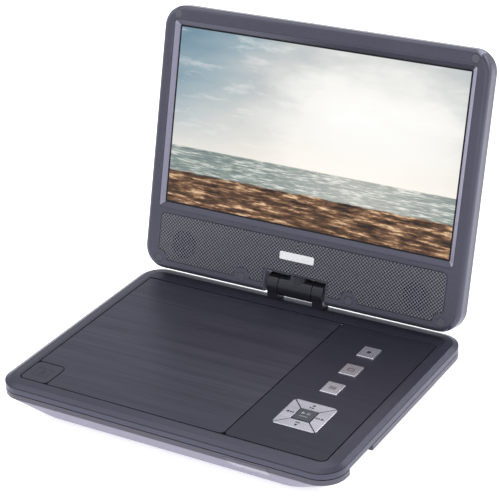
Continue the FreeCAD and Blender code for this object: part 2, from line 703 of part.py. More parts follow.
SCREEN_TOP = "(screen_bottom + screen_height)"
BRACKET_LOW = "(notch_top + notch_wall)"
BRACKET_HIGH = f"({BRACKET_LOW} + bracket_height)"
CAP_FLOOR = "(lid_front - cap_depth)"
CAP_PLACES = [(f"{sign}{x}", y) for sign in ("-", "") for x, y in
              (("cap_top_x", "cap_top_y"), ("cap_low_outer", "cap_low_y"), ("cap_low_inner", "cap_low_y"))]


def keep(name, piece, lid=False):
    """Name a finished sub-part and put it in the row's frame."""
    if isinstance(piece, Moulding):
        piece = piece.body
    if piece.TypeId in ("Part::Box", "Part::Cylinder"):
        piece = group(piece)
    piece.Label = name
    if lid:
        settle(piece, ("0", f"{TILT_Y} - {ROW_SHIFT}", TILT_LEVEL), (1, 0, 0), 90 - value("lean"))
    else:
        settle(piece, ("0", f"-{ROW_SHIFT}", "0"))
    parts.append(piece)
    return piece


# ---- base housing ------------------------------------------------------------------------------------------

def stem_places():
    """Each key's stem: three oblong keys, the middle key and the four direction keys."""
    pad = [("key_x", "pad_y"), ("key_x", f"pad_y + {PAD_STEM}"), ("key_x", f"pad_y - {PAD_STEM}"),
           (f"key_x + {PAD_STEM}", "pad_y"), (f"key_x - {PAD_STEM}", "pad_y")]
    return [("key_x", y) for y in KEY_ROWS] + pad


def screw_posts(left, top, skin):
    """The upper posts of the housing screws on one side of the divider, and the holes in them."""
    places = [(x, y) for x, y in SCREW_PLACES if (value(x) < value("divider")) == left]
    posts = [upright("boss_radius", x, y, ("boss_joint", top)) for x, y in places]
    holes = [upright("base_screw_radius", x, y, ("boss_joint", f"{top} - ({skin})")) for x, y in places]
    return posts, holes


def crowned_rim():
    """The top cover before its panel is cut."""
    rim = Moulding("rim_shape")
    rim.pad(("parting_level", "crease_level"), inset_outline("0", "base_corner"))
    rim.loft(("crease_level", inset_outline("0", "base_corner")),
             ("crown_middle_level", inset_outline("crown_middle_inset", "base_corner - crown_middle_inset")),
             ("base_top", inset_outline("crown_inset", "base_corner - crown_inset + past")))
    rim.pocket(("parting_level", SHALLOW_UNDER), inset_outline("base_wall", "base_corner - base_wall"))
    across = f"{BASE_SIDE} - hollow_inset"
    rim.pocket((SHALLOW_UNDER, RIM_UNDER), rounded(
        (f"-({across})", across), (f"hollow_inset - {BASE_BACK}", f"{BASE_BACK} - hollow_back"),
        "base_corner - hollow_inset"))
    return rim


def base_top_cover():
    cover = crowned_rim()
    cover.pad((BED_UNDER, RIM_UNDER), rounded(
        ("divider", f"{PANEL_RIGHT} + bed_reach"),
        (f"{PANEL_FRONT} - bed_reach", f"{PANEL_BACK} + bed_reach"), "bed_corner"))
    cover.pad(lift("parting_level", "bay_wall"), rounded(
        (f"{BAY_WALL_X} - bay_wall", f"{BASE_SIDE} - base_wall / 2"),
        ("bay_front - bay_wall", "bay_step + bay_wall"), "base_wall / 4"))
    cover.pocket(PLATE_Z, rounded(
        (f"{PANEL_LEFT} - {EDGE}", f"{PANEL_RIGHT} + {EDGE}"),
        (f"{PANEL_FRONT} - {EDGE}", f"{PANEL_BACK} + {EDGE}"), f"panel_corner + {EDGE}"))
    cover.pocket((f"{BED_UNDER} - past", PLATE_UNDER), rounded(
        (f"{PANEL_LEFT} - {EDGE}", "divider"), (f"{PANEL_FRONT} - {EDGE}", f"{PANEL_BACK} + {EDGE}"),
        "bed_corner / 2"))
    cover.pocket((BED_TOP, PLATE_UNDER), rounded(
        ("divider + bed_ledge", f"{PANEL_RIGHT} - bed_ledge"),
        (f"{PANEL_FRONT} + bed_ledge", f"{PANEL_BACK} - bed_ledge"), "bed_corner"))
    cover.pocket((BED_UNDER, BED_TOP),
                 *[circle(x, y, "key_stem_radius + key_stem_clearance") for x, y in stem_places()])
    posts, tools = screw_posts(False, BED_TOP, "bed_thickness / 2")
    posts += [upright("board_post_radius", f"key_x {side} (key_board_half_width - 2 * board_post_radius)", y,
                      (KEY_BOARD_TOP, BED_TOP)) for side in "-+" for y in (KEY_ROWS[0], KEY_ROWS[2])]
    for low, high in mirrored("knuckle_inner - slack", "knuckle_outer + slack"):
        tools.append(block((low, high), (f"{PEDESTALS_Y[0]} - slack", f"{PEDESTALS_Y[1]} + slack"),
                           ("parting_level", "base_top + past")))
    for side in ("-", ""):
        tools.append(upright("base_screw_radius", f"{side}{MOUNT_SCREW_X}", MOUNT_SCREW_Y,
                             ("parting_level", f"{SHALLOW_UNDER} + mount_screw_bite + past / 2")))
    hinge_corner = f"{PANEL_LEFT} - {EDGE}"
    pin_start = f"{PANEL_LEFT} + {EDGE} - door_pin_length / 2"
    tools.append(block((hinge_corner, f"{hinge_corner} + door_hinge_zone"),
                       (f"{PANEL_BACK} + {EDGE} - door_hinge_zone", f"{PANEL_BACK} + {EDGE}"), PLATE_Z))
    tools.append(rod("door_pin_radius", (pin_start, DOOR_AXIS_Y, DOOR_AXIS_Z), "door_pin_length", "X"))
    keep("base_top_cover", less(fused(cover.body, *posts), *tools))


def taper(level, size):
    """How far a wall of the bottom cover has come in at a level under the band."""
    return f"({size} * (band_level - ({level})) / (band_level - underside_level))"


def shell_outside():
    shell = Moulding("shell_outside")
    shell.loft(("underside_level", inset_outline("end_inset", "underside_corner", "side_inset")),
               ("band_level", inset_outline("0", "base_corner")))
    shell.pad(("band_level", BAND_TOP), inset_outline("0", "base_corner"))
    return shell


def shell_inside(name, low_wall, low_corner, wall, corner, top):
    """What is hollow inside walls of these thicknesses at the floor and in the band."""
    inside = Moulding(name)
    inside.loft((SHELL_FLOOR, inset_outline(f"{taper(SHELL_FLOOR, 'end_inset')} + {low_wall}", low_corner,
                                            f"{taper(SHELL_FLOOR, 'side_inset')} + {low_wall}")),
                ("band_level", inset_outline(wall, corner)))
    return inside.pad(("band_level", top), inset_outline(wall, corner)).body


def window_prism(grow):
    """The slanting outline of the front window, from in front of the base to behind its wall."""
    start = f"({BASE_BACK} - window_cut)"
    outline = polygon(
        (f"window_left - ({grow})", f"window_top + ({grow})"),
        (f"window_right + ({grow})", f"window_top + ({grow})"),
        (f"window_right + ({grow})", "window_bottom"),
        (f"window_left + window_slant - ({grow})", "window_bottom"))
    return Moulding("window_prism").pad((start, f"{BASE_BACK} + past"), outline, role="XZ_Plane").body


def bay_boxes(grow, tall_top):
    """The hollow in the right side, in two lengths with different roofs."""
    across = (f"{BAY_WALL_X} - ({grow})", OUTSIDE_X)
    floor = f"bay_floor - ({grow})"
    tall = block(across, (f"bay_front - ({grow})", f"bay_step + ({grow})"), (floor, tall_top))
    low = block(across, ("bay_step - past", f"bay_back + ({grow})"), (floor, f"bay_roof + ({grow})"))
    return tall, low


outside = shell_outside().body


def bottom_posts():
    """The screw posts, rubber mount posts, board posts and stem guide on the floor of the base."""
    posts = [upright("boss_radius", x, y, ("underside_level", "boss_joint")) for x, y in SCREW_PLACES]
    posts += [upright("damper_post_radius", x, y, ("underside_level", "frame_level - damper_height"))
              for x, y in damper_places()]
    for x in ("board_left + board_post_inset", f"{BOARD_RIGHT} - board_post_inset"):
        for y in ("board_front + board_post_inset", "board_back - board_post_inset"):
            posts.append(upright("board_post_radius", x, y, ("underside_level", BOARD_UNDER)))
    posts.append(upright("open_stem_radius + open_stem_clearance + stem_post_wall", OPEN_X, OPEN_Y,
                         (f"{SPRING_SEAT} - stem_guide - stem_post_wall", SPRING_SEAT)))
    return posts


def bottom_cuts():
    """The port bay, the openings round the hinge and the front window, and the screw holes."""
    tools = list(bay_boxes("0", "parting_level"))
    tools.append(block((f"{BAY_WALL_X} - bay_wall - past", f"{BAY_WALL_X} + past"),
                       ("bay_front + bay_frame", "bay_back - bay_frame"),
                       span("port_level", "2 * jack_collar + slack")))
    tools.append(block((f"{PORT_FACE_X} - past", OUTSIDE_X), ("bay_front", "bay_step"),
                       ("bay_roof", f"{LIP_TOP} + past")))
    tools.append(block((f"{BAY_WALL_X} - bay_wall", OUTSIDE_X),
                       ("bay_front - bay_wall", "bay_step + bay_wall"), (BAND_TOP, f"{LIP_TOP} + past")))
    for low, high in mirrored("knuckle_inner - slack", "knuckle_outer + slack"):
        tools.append(block((low, high), (PEDESTALS_Y[0], f"{PEDESTALS_Y[1]} + slack"),
                           (f"{MOUNT_UNDER} - slack", f"{LIP_TOP} + past")))
    for x, y in SCREW_PLACES:
        low = "underside_level - past"
        tools.append(upright("base_screw_radius + screw_clearance", x, y, (low, "boss_joint + past")))
        tools.append(upright("base_head_radius + screw_clearance", x, y,
                             (low, "underside_level + head_recess + base_head_height")))
    tools.append(window_prism("window_gap"))
    tools.append(upright("open_stem_radius + open_stem_clearance", OPEN_X, OPEN_Y,
                         (f"{SPRING_SEAT} - stem_guide", f"{SPRING_SEAT} + past")))
    return tools


def base_bottom_cover():
    wall = "(lip_clearance + base_wall + lip_width)"
    inside = shell_inside("shell_inside", "lower_wall", "underside_corner - base_wall",
                          wall, f"base_corner - {wall}", f"{LIP_TOP} + past")
    lip = plate("lip", ("band_level", LIP_TOP),
                inset_outline("base_wall + lip_clearance", "base_corner - base_wall - lip_clearance"))
    hollow = less(fused(outside, lip.body), inside)
    liner = shared(outside, fused(*bay_boxes("bay_wall", BAND_TOP)))
    keep("base_bottom_cover", less(fused(hollow, liner, *bottom_posts()), *bottom_cuts()))


def port_panel():
    across = (BAY_WALL_X, PORT_FACE_X)
    face = fused(block(across, ("bay_front + fit_gap", "bay_step"), ("bay_floor", BAND_TOP)),
                 block(across, ("bay_step - past", "bay_back - fit_gap"), ("bay_floor", "bay_roof")))
    start, end = f"{BAY_WALL_X} - past", f"{PORT_FACE_X} + past"
    cuts = [rod("jack_collar + fit_gap", (start, y, "port_level"), "bay_wall + 2 * past", "X")
            for y in ("headphone_y", "av_y", "dc_y")]
    slots = [(span("volume_y", "2 * volume_radius"), "2 * volume_slot"),
             (span("usb_y", "usb_width + 2 * fit_gap"), "usb_height + 2 * fit_gap"),
             (span("card_y", "card_width + 2 * fit_gap"), "card_height + 2 * fit_gap"),
             (("power_y - power_slot", "power_y + power_slot + power_travel"), "2 * slider_rise + 2 * slack")]
    for along, height in slots:
        cuts.append(block((start, end), along, span("port_level", height)))
    keep("port_panel", less(face, *cuts))


def ir_window():
    inside = shell_inside("window_inside", "window_wall", "window_corner", "window_wall", "window_corner",
                          "parting_level")
    keep("ir_window", less(shared(outside, window_prism("0")), inside))


def feet():
    solids = [upright("foot_radius", f"{side}({BASE_SIDE} - foot_side)", f"foot_front - {BASE_BACK}",
                      ("0", "underside_level")) for side in ("-", "")]
    for side in ("-", ""):
        at = (f"{side}({BASE_SIDE} - rear_foot_side)", f"{BASE_BACK} - rear_foot_end")
        bulb = doc.addObject("Part::Ellipsoid", "bulb")
        bind(bulb, "Radius1", "rear_foot_half_height")
        bind(bulb, "Radius2", "rear_foot_half_width")
        bind(bulb, "Radius3", "rear_foot_half_length")
        settle(bulb, (*at, "rear_foot_level"))
        below = centred(*at, "3 * rear_foot_half_length", "3 * rear_foot_half_length",
                        ("-rear_foot_half_length", "0"))
        solids.append(less(bulb, outside, below))
    keep("feet", group(*solids))


def base_screws():
    seat = "(underside_level + head_recess)"
    shank = (f"{seat} + base_head_height", "boss_joint + screw_bite")
    solids = [fused(upright("base_head_radius", x, y, lift(seat, "base_head_height")),
                    upright("base_screw_radius", x, y, shank)) for x, y in SCREW_PLACES]
    keep("base_screws", group(*solids))


# ---- disc drive --------------------------------------------------------------------------------------------

def damper_places():
    across = "(frame_half_width - damper_inset)"
    return [(f"well_centre {side} {across}", f"{DISC_Y} + {reach}")
            for side in "-+" for reach in ("frame_back - damper_inset", "(damper_inset - frame_front)")]


def disc_deck():
    deck = Moulding("deck_shape")
    deck.pad((DECK_UNDER, RIM_UNDER), rounded(
        (f"{PANEL_LEFT} - deck_reach", "divider - slack"),
        (f"{PANEL_FRONT} - deck_reach", f"{PANEL_BACK} + deck_reach"), "panel_corner"))
    deck.pad((FLOOR_UNDER, DECK_UNDER), circle(*DISC, "well_radius + deck_wall"))
    deck.pocket(("well_floor", RIM_UNDER), circle(*DISC, "well_radius"))
    deck.pocket((FLOOR_UNDER, "well_floor"), circle(*DISC, "deck_hole_radius"))
    deck.pocket((FLOOR_UNDER, "well_floor"), rounded(
        span("well_centre", "lens_slot_width"), (f"{DISC_Y} - lens_slot_reach", DISC_Y),
        "lens_slot_width / 4"))
    deck.pocket((DECK_UNDER, RIM_UNDER), rounded(
        (f"{PANEL_LEFT} - slack", f"{PANEL_LEFT} + open_width + past"),
        (f"{PANEL_FRONT} - slack", f"{OPEN_BACK} + latch_room"), "bed_corner"))
    posts, holes = screw_posts(True, DECK_UNDER, "0")
    keep("disc_deck", less(fused(deck.body, *posts), *holes))


def turntable():
    hub_top = "(seat_level + hub_height)"
    platter = Moulding("turntable")
    platter.pad(("seat_level - seat_thickness", "seat_level"), circle(*DISC, "seat_radius"))
    platter.pad(("seat_level", hub_top), circle(*DISC, "hub_radius"))
    platter.round(flat_at(hub_top), "hub_edge")
    platter.pocket(("seat_level - seat_thickness", f"{hub_top} - spindle_cover"),
                   circle(*DISC, "spindle_radius + running_clearance"))
    keep("turntable", platter)


def traverse():
    frame_top = "(frame_level + frame_thickness)"
    frame = plate("frame_shape", ("frame_level", frame_top), rounded(
        span("well_centre", "2 * frame_half_width"), (f"{DISC_Y} - frame_front", f"{DISC_Y} + frame_back"),
        "frame_corner"))
    plate_front, plate_back = f"({DISC_Y} - {RAIL_FRONT})", f"({DISC_Y} - rail_back)"
    frame.pocket(("frame_level", frame_top),
                 rounded(span("well_centre", "2 * rail_spacing + rail_plate_width + rail_plate"),
                         (f"{plate_front} + rail_plate / 2", f"{plate_back} + rail_plate / 2"), "rail_plate"),
                 circle(*DISC, "collar_hole"))
    ends = [centred(f"well_centre {side} rail_spacing", y, "rail_plate_width", "rail_plate",
                    ("rail_level - rail_plate_drop", frame_top))
            for y in (plate_front, plate_back) for side in "-+"]
    bores = [rod(radius, (f"well_centre {side} rail_spacing", f"{plate_front} - rail_plate", "rail_level"),
                 f"{RAIL_FRONT} - rail_back + 2 * rail_plate", "Y")
             for side, radius in (("+", "rod_radius"), ("-", "screw_radius + running_clearance"))]
    keep("traverse_frame", less(fused(frame.body, *ends), *bores))
    start = f"{plate_front} - rail_plate / 2 + rail_end"
    length = f"{RAIL_FRONT} - rail_back + rail_plate - 2 * rail_end"
    keep("guide_rod", rod("rod_radius", ("well_centre + rail_spacing", start, "rail_level"), length, "Y"))
    keep("lead_screw", rod("screw_radius", ("well_centre - rail_spacing", start, "rail_level"), length, "Y"))
    motor_front = f"{plate_front} - rail_plate / 2 - sled_motor_length"
    keep("sled_motor", rod("sled_motor_radius", ("well_centre - rail_spacing", motor_front, "rail_level"),
                           "sled_motor_length", "Y"))
    shaft_end = "seat_level + hub_height - spindle_cover - spindle_end_gap"
    keep("spindle_motor", fused(upright("motor_radius", *DISC, ("frame_level - motor_height", "frame_level")),
                                upright("motor_collar", *DISC, ("frame_level", frame_top)),
                                upright("spindle_radius", *DISC, ("frame_level", shaft_end))))
    rubber = ("frame_level - damper_height", "frame_level")
    keep("traverse_dampers", group(*[upright("damper_radius", x, y, rubber) for x, y in damper_places()]))


def pickup():
    at = ("well_centre", f"{DISC_Y} - sled_start")
    low = "(rail_level - sled_drop)"
    lens_under = "(lens_top - lens_height)"
    body = centred(*at, "sled_width", "sled_length", lift(low, "sled_height"))
    arms = centred(*at, "2 * (rail_spacing + arm_reach)", "arm_depth", lift(low, "2 * sled_drop"))
    tower = centred(*at, "lens_holder", "lens_holder", ("rail_level", lens_under))
    start = f"{at[1]} - arm_depth"
    bores = [rod(f"{radius} + running_clearance", (f"well_centre {side} rail_spacing", start, "rail_level"),
                 "2 * arm_depth", "Y") for side, radius in (("+", "rod_radius"), ("-", "screw_radius"))]
    keep("pickup_sled", less(fused(body, arms, tower), *bores))
    lens = plate("pickup_lens", (lens_under, "lens_top"), circle(*at, "lens_radius"))
    keep("pickup_lens", lens.round(flat_at("lens_top"), "lens_edge"))


# ---- door, open button and keys ----------------------------------------------------------------------------

def disc_door():
    left, right = f"({PANEL_LEFT} + {EDGE})", f"(divider - {EDGE})"
    door = plate("door_shape", PLATE_Z, rounded((left, right), (f"{PANEL_FRONT} + {EDGE}", DOOR_AXIS_Y),
                                                f"panel_corner - {EDGE}"))
    square_end = f"{DOOR_AXIS_Y} - door_hinge_zone"
    door.pad(PLATE_Z, polygon((left, square_end), (right, square_end),
                              (right, DOOR_AXIS_Y), (left, DOOR_AXIS_Y)))
    outer = "4 * open_corner"
    door.pocket(PLATE_Z, rounded(
        (f"{PANEL_LEFT} - {outer}", f"{left} + open_width + groove"),
        (f"{PANEL_FRONT} - {outer}", f"{OPEN_BACK} + groove"), "open_corner + groove"))
    edge = rod("panel_thickness / 2", (left, DOOR_AXIS_Y, DOOR_AXIS_Z), f"{right} - {left}", "X")
    hook = block(span(OPEN_X, "hook_width"), lift(HOOK_FRONT, "hook_thickness"),
                 (f"{PLATE_UNDER} - hook_drop", PLATE_UNDER))
    bore = "(door_pin_length / 2 + slack)"
    bores = [rod("door_pin_radius + running_clearance", (x, DOOR_AXIS_Y, DOOR_AXIS_Z), bore, "X")
             for x in (left, f"{right} - {bore}")]
    keep("disc_door", less(fused(door.body, edge, hook), *bores))
    pins = [rod("door_pin_radius", (f"{x} - door_pin_length / 2", DOOR_AXIS_Y, DOOR_AXIS_Z),
                "door_pin_length", "X") for x in (left, right)]
    keep("door_hinge_pins", group(*pins))


def latch_spring(low, high):
    """The button's spring at its pressed height, as rings on one upright."""
    radius = "(open_stem_radius + open_stem_clearance + spring_wire)"
    first, last = f"({low} + spring_wire / 2)", f"({high} - spring_wire / 2)"
    rings = []
    for turn in range(round(value("spring_turns"))):
        ring = doc.addObject("Part::Torus", "turn")
        bind(ring, "Radius1", radius)
        bind(ring, "Radius2", "spring_wire / 2")
        settle(ring, (OPEN_X, OPEN_Y, f"{first} + {turn} * ({last} - {first}) / (spring_turns - 1)"))
        rings.append(ring)
    return fused(upright("spring_wire / 3", f"{OPEN_X} + {radius}", OPEN_Y, (first, last)), *rings)


def open_button():
    cap = plate("cap_shape", PLATE_Z, rounded(
        (f"{PANEL_LEFT} + {EDGE}", f"{PANEL_LEFT} + {EDGE} + open_width"),
        (f"{PANEL_FRONT} + {EDGE}", OPEN_BACK), f"panel_corner - {EDGE}"))
    stem = upright("open_stem_radius", OPEN_X, OPEN_Y, (f"{SPRING_SEAT} - past", PLATE_UNDER))
    keep("open_button", fused(cap.body, stem))
    bar_under = f"({PLATE_UNDER} - latch_drop)"
    rear = f"({HOOK_FRONT} - nose_gap)"
    nose = block(span(OPEN_X, "nose_width"), (f"{rear} - nose_thickness", rear),
                 (bar_under, f"{PLATE_UNDER} - nose_drop"))
    bar = block(span(OPEN_X, "latch_width"), (f"{rear} - latch_depth", rear),
                lift(bar_under, "latch_thickness"))
    keep("door_latch", fused(bar, nose))
    keep("latch_spring", latch_spring(SPRING_SEAT, f"({PLATE_UNDER} - open_travel - fit_gap)"))


def control_plate():
    top = plate("plate_shape", PLATE_Z, rounded(
        (f"divider + {EDGE}", f"{PANEL_RIGHT} - {EDGE}"),
        (f"{PANEL_FRONT} + {EDGE}", f"{PANEL_BACK} - {EDGE}"), f"panel_corner - {EDGE}"))
    holes = [rounded(span("key_x", "key_width + 2 * key_gap"), span(y, "key_depth + 2 * key_gap"),
                     "key_corner + key_gap") for y in KEY_ROWS]
    holes.append(rounded(span("key_x", "pad_size + 2 * key_gap"), span("pad_y", "pad_size + 2 * key_gap"),
                         "pad_corner + key_gap"))
    top.pocket(PLATE_Z, *holes)
    pin = rod("door_pin_radius", ("divider", DOOR_AXIS_Y, DOOR_AXIS_Z), "door_pin_length / 2", "X")
    keep("control_plate", less(top.body, pin))


def oblong_keys():
    for number, y in enumerate(KEY_ROWS, start=1):
        key = plate(f"button_{number}", (FLANGE_UNDER, FLANGE_TOP), rounded(
            span("key_x", "key_width + 2 * flange_reach"), span(y, "key_depth + 2 * flange_reach"),
            "flange_reach"))
        key.pad((FLANGE_TOP, "base_top + key_proud"), rounded(
            span("key_x", "key_width"), span(y, "key_depth"), "key_corner"))
        key.round(flat_at("base_top + key_proud"), "key_edge")
        key.pad((STEM_END, FLANGE_UNDER), circle("key_x", y, "key_stem_radius"))
        keep(f"button_{number}", key)


def pad_block(grow, z):
    size = f"pad_size + 2 * ({grow})"
    return plate("pad_block", z, rounded(span("key_x", size), span("pad_y", size), "pad_corner"))


def direction_key(angle):
    """One quarter of the direction pad, with its stem."""
    top = "(base_top + pad_proud)"
    whole = fused(pad_block("0", (FLANGE_TOP, top)).round(flat_at(top), "key_edge").body,
                  pad_block("flange_reach", (FLANGE_UNDER, FLANGE_TOP)).body)
    direction = FreeCAD.Rotation(FreeCAD.Vector(0, 0, 1), angle).multVec(FreeCAD.Vector(0, 1, 0))
    x, y = round(direction.x), round(direction.y)
    low = f"({FLANGE_UNDER} - past)"
    wedge = doc.addObject("Part::Box", "wedge")
    for side in ("Length", "Width", "Height"):
        bind(wedge, side, "pad_size * 1.2")
    settle(wedge, (f"key_x + ({x}) * pad_gap * sqrt(0.5)", f"pad_y + ({y}) * pad_gap * sqrt(0.5)", low),
           (0, 0, 1), angle + 45)
    opening = "enter_size + 2 * pad_gap"
    hole = centred("key_x", "pad_y", opening, opening, (low, f"{top} + past"))
    stem = upright("key_stem_radius", f"key_x + ({x}) * {PAD_STEM}", f"pad_y + ({y}) * {PAD_STEM}",
                   (STEM_END, FLANGE_UNDER))
    return fused(less(shared(whole, wedge), hole), stem)


def direction_keys():
    for name, angle in PAD_KEYS:
        keep(name, direction_key(angle))
    top = "(base_top + key_proud)"
    enter = plate("key_enter", (FLANGE_UNDER, top), rounded(
        span("key_x", "enter_size"), span("pad_y", "enter_size"), "key_corner"))
    enter.round(flat_at(top), "key_edge")
    enter.pad((STEM_END, FLANGE_UNDER), circle("key_x", "pad_y", "key_stem_radius"))
    keep("key_enter", enter)


# ---- electronics in the base -------------------------------------------------------------------------------

def electronics():
    level = (BOARD_UNDER, BOARD_TOP)
    board = fused(block(("board_left", BOARD_RIGHT), ("board_front", "board_back"), level),
                  block((f"{BOARD_RIGHT} - board_tail", BOARD_RIGHT),
                        ("board_back - past", "bay_back"), level))
    chips = [centred(*chip, lift(BOARD_TOP, "chip_height")) for chip in CHIPS]
    keep("main_board", group(board, *chips))
    keep("battery_pack", block(("battery_left", "battery_right"), ("battery_front", "battery_back"),
                               lift(SHELL_FLOOR, "battery_height")))
    keep("key_board", block(span("key_x", "2 * key_board_half_width"),
                            (f"pad_y - {PAD_STEM} - key_board_margin", f"{KEY_ROWS[-1]} + key_board_margin"),
                            (f"{KEY_BOARD_TOP} - board_thickness", KEY_BOARD_TOP)))
    keep("tact_switches", group(*[centred(x, y, "switch_size", "switch_size", (KEY_BOARD_TOP, SWITCH_TOP))
                                  for x, y in stem_places()]))


def round_socket(y, width, bore):
    """A socket behind the port panel with its collar through it."""
    back = f"({BAY_WALL_X} - socket_depth)"
    body = block((back, BAY_WALL_X), span(y, width), span("port_level", "2 * socket_rise"))
    collar = rod("jack_collar", (f"{BAY_WALL_X} - past", y, "port_level"),
                 "past + bay_wall + collar_proud", "X")
    hollow = rod(bore, (f"{back} + socket_back", y, "port_level"), "2 * socket_depth", "X")
    return less(fused(body, collar), hollow)


def on_board(x, y, width, depth, top):
    """A foot that carries a socket on the main board."""
    return centred(x, y, width, depth, (BOARD_TOP, top))


def volume():
    x = f"({PORT_FACE_X} + volume_proud - volume_radius)"
    under, over = span("port_level", "volume_thickness")
    seat = "(port_level - volume_slot)"
    bore = upright("volume_axle + running_clearance", x, "volume_y", (seat, f"{over} + past"))
    keep("volume_wheel", less(upright("volume_radius - slack", x, "volume_y", (under, over)), bore))
    base = block((f"{x} - volume_base / 2", BAY_WALL_X), span("volume_y", "volume_base"), (BOARD_TOP, seat))
    axle = upright("volume_axle", x, "volume_y", (seat, f"{over} + slack"))
    keep("volume_control", fused(base, axle))


def ports():
    keep("audio_jacks", group(*[round_socket(y, "jack_width", "jack_bore") for y in ("headphone_y", "av_y")]))
    pin = rod("dc_pin", (f"{BAY_WALL_X} - socket_depth + past", "dc_y", "port_level"), "socket_depth", "X")
    keep("dc_jack", fused(round_socket("dc_y", "dc_width", "dc_bore"), pin))
    usb_back = f"({PORT_FACE_X} - usb_length)"
    shell = less(block((usb_back, PORT_FACE_X), span("usb_y", "usb_width"), span("port_level", "usb_height")),
                 block((f"{usb_back} + past", f"{PORT_FACE_X} + past"),
                       span("usb_y", "usb_width - 2 * usb_wall"),
                       span("port_level", "usb_height - 2 * usb_wall")))
    tongue = block((usb_back, f"{PORT_FACE_X} - 2 * past"), span("usb_y", "usb_width - 4 * usb_wall"),
                   lift("port_level", "usb_tongue"))
    usb_foot = on_board(f"{BOARD_RIGHT} - usb_wall - past", "usb_y", "2 * past", "usb_width / 2",
                        "port_level - usb_height / 2")
    keep("usb_socket", fused(shell, tongue, usb_foot))
    card_back = f"({PORT_FACE_X} - card_length)"
    card = less(block((card_back, PORT_FACE_X), span("card_y", "card_width"),
                      span("port_level", "card_height")),
                block((f"{card_back} + past", f"{PORT_FACE_X} + past"),
                      span("card_y", "card_width - 2 * card_wall"),
                      span("port_level", "card_height - 2 * card_wall")))
    card_foot = on_board(f"{card_back} + card_length / 4", "card_y", "card_length / 4", "card_width / 3",
                         "port_level - card_height / 2")
    keep("card_socket", fused(card, card_foot))
    body_right = f"({BAY_WALL_X} - slider_reach - slack)"
    keep("power_switch_body", block((f"{body_right} - power_body_length", body_right),
                                    span("power_y + power_travel / 2", "power_body_depth"),
                                    (BOARD_TOP, "port_level + power_body_rise")))
    stem = centred(BAY_WALL_X, "power_y", "2 * slider_reach", "slider_width",
                   span("port_level", "2 * slider_rise"))
    knob = block(lift(f"{PORT_FACE_X} + slack", "knob_length"), span("power_y", "knob_width"),
                 span("port_level", "2 * knob_rise"))
    keep("power_slider", fused(stem, knob))


# ---- hinge -------------------------------------------------------------------------------------------------

def hinge_mount():
    solids = [block(("-mount_half_width", "mount_half_width"),
                    (f"{BASE_BACK} - mount_front", f"{BASE_BACK} - mount_back"),
                    (MOUNT_UNDER, SHALLOW_UNDER))]
    for low, high in mirrored("knuckle_inner", "knuckle_outer"):
        solids.append(block((low, high), PEDESTALS_Y, (MOUNT_UNDER, TILT_LEVEL)))
        solids.append(rod("barrel_radius", (low, TILT_Y, TILT_LEVEL), "knuckle_outer - knuckle_inner", "X"))
    places = [(f"{side}{MOUNT_SCREW_X}", MOUNT_SCREW_Y) for side in ("-", "")]
    through = (f"{MOUNT_UNDER} - past", f"{SHALLOW_UNDER} + past")
    holes = [upright("base_screw_radius + screw_clearance", *at, through) for at in places]
    bore = rod("pin_radius", ("-knuckle_outer - past", TILT_Y, TILT_LEVEL), "2 * (knuckle_outer + past)", "X")
    keep("hinge_mount", less(fused(*solids), bore, *holes))
    screws = [fused(upright("mount_head_radius", *at, (f"{MOUNT_UNDER} - mount_head_height", MOUNT_UNDER)),
                    upright("base_screw_radius", *at, (MOUNT_UNDER, f"{SHALLOW_UNDER} + mount_screw_bite")))
              for at in places]
    keep("hinge_mount_screws", group(*screws))
    keep("hinge_pin", rod("pin_radius", ("pin_inset - knuckle_outer", TILT_Y, TILT_LEVEL),
                          "2 * (knuckle_outer - pin_inset)", "X"))


def swivel():
    barrel = fused(rod("barrel_radius", ("-barrel_half_length", "0", "0"), "2 * barrel_half_length", "X"),
                   rod("neck_radius", ("0", "0", "0"), "notch_top - neck_gap", "Y"))
    bore = rod("pin_radius + running_clearance", ("-barrel_half_length - past", "0", "0"),
               "2 * (barrel_half_length + past)", "X")
    keep("hinge_barrel", less(barrel, bore), lid=True)
    post_low, post_high = "(notch_top - neck_gap)", f"({BRACKET_HIGH} + fit_gap)"
    post = fused(rod("post_radius", ("0", post_low, "0"), f"{post_high} - {post_low}", "Y"),
                 rod("post_flange_radius", ("0", post_high, "0"), "post_flange", "Y"))
    keep("swivel_post", post, lid=True)
    housing = block(("-bracket_half_width", "bracket_half_width"), (BRACKET_LOW, BRACKET_HIGH),
                    (BACK_INSIDE, FACE_INSIDE))
    hole = rod("post_radius + running_clearance", ("0", f"{BRACKET_LOW} - past", "0"),
               "bracket_height + 2 * past", "Y")
    keep("swivel_bracket", less(housing, hole), lid=True)


# ---- lid ---------------------------------------------------------------------------------------------------

def notch(z, grow="0"):
    """The bite in the lid's lower edge that the hinge barrel fills."""
    return block((f"-notch_half_width - ({grow})", f"notch_half_width + ({grow})"),
                 ("-2 * lid_below", f"notch_top + ({grow})"), z)


def post_hole():
    """Where the swivel post passes through the notch's wall."""
    return rod("post_radius + post_room", ("0", "0", "0"), f"{BRACKET_LOW} + past", "Y")


def screen_outline(reach, corner):
    return rounded(span("0", f"screen_width + 2 * ({reach})"),
                   (f"screen_bottom - ({reach})", f"{SCREEN_TOP} + ({reach})"), corner)


def grille_solid(grow, z):
    """The grille's plan: an oblong with bites round the hinge notch and the lower screw caps."""
    whole = plate("grille_plan", z, rounded(
        span("0", f"grille_width + 2 * ({grow})"), (f"grille_bottom - ({grow})", f"grille_top + ({grow})"),
        f"grille_corner + ({grow})"))
    through = (f"{z[0]} - past", f"{z[1]} + past")
    bites = [block(span("0", f"2 * (notch_half_width + grille_notch_side - ({grow}))"),
                   ("-2 * lid_below", f"notch_top + grille_notch_top - ({grow})"), through)]
    bites += [upright(f"grille_arc - ({grow})", x, y, through) for x, y in CAP_PLACES if y == "cap_low_y"]
    return less(whole.body, *bites)


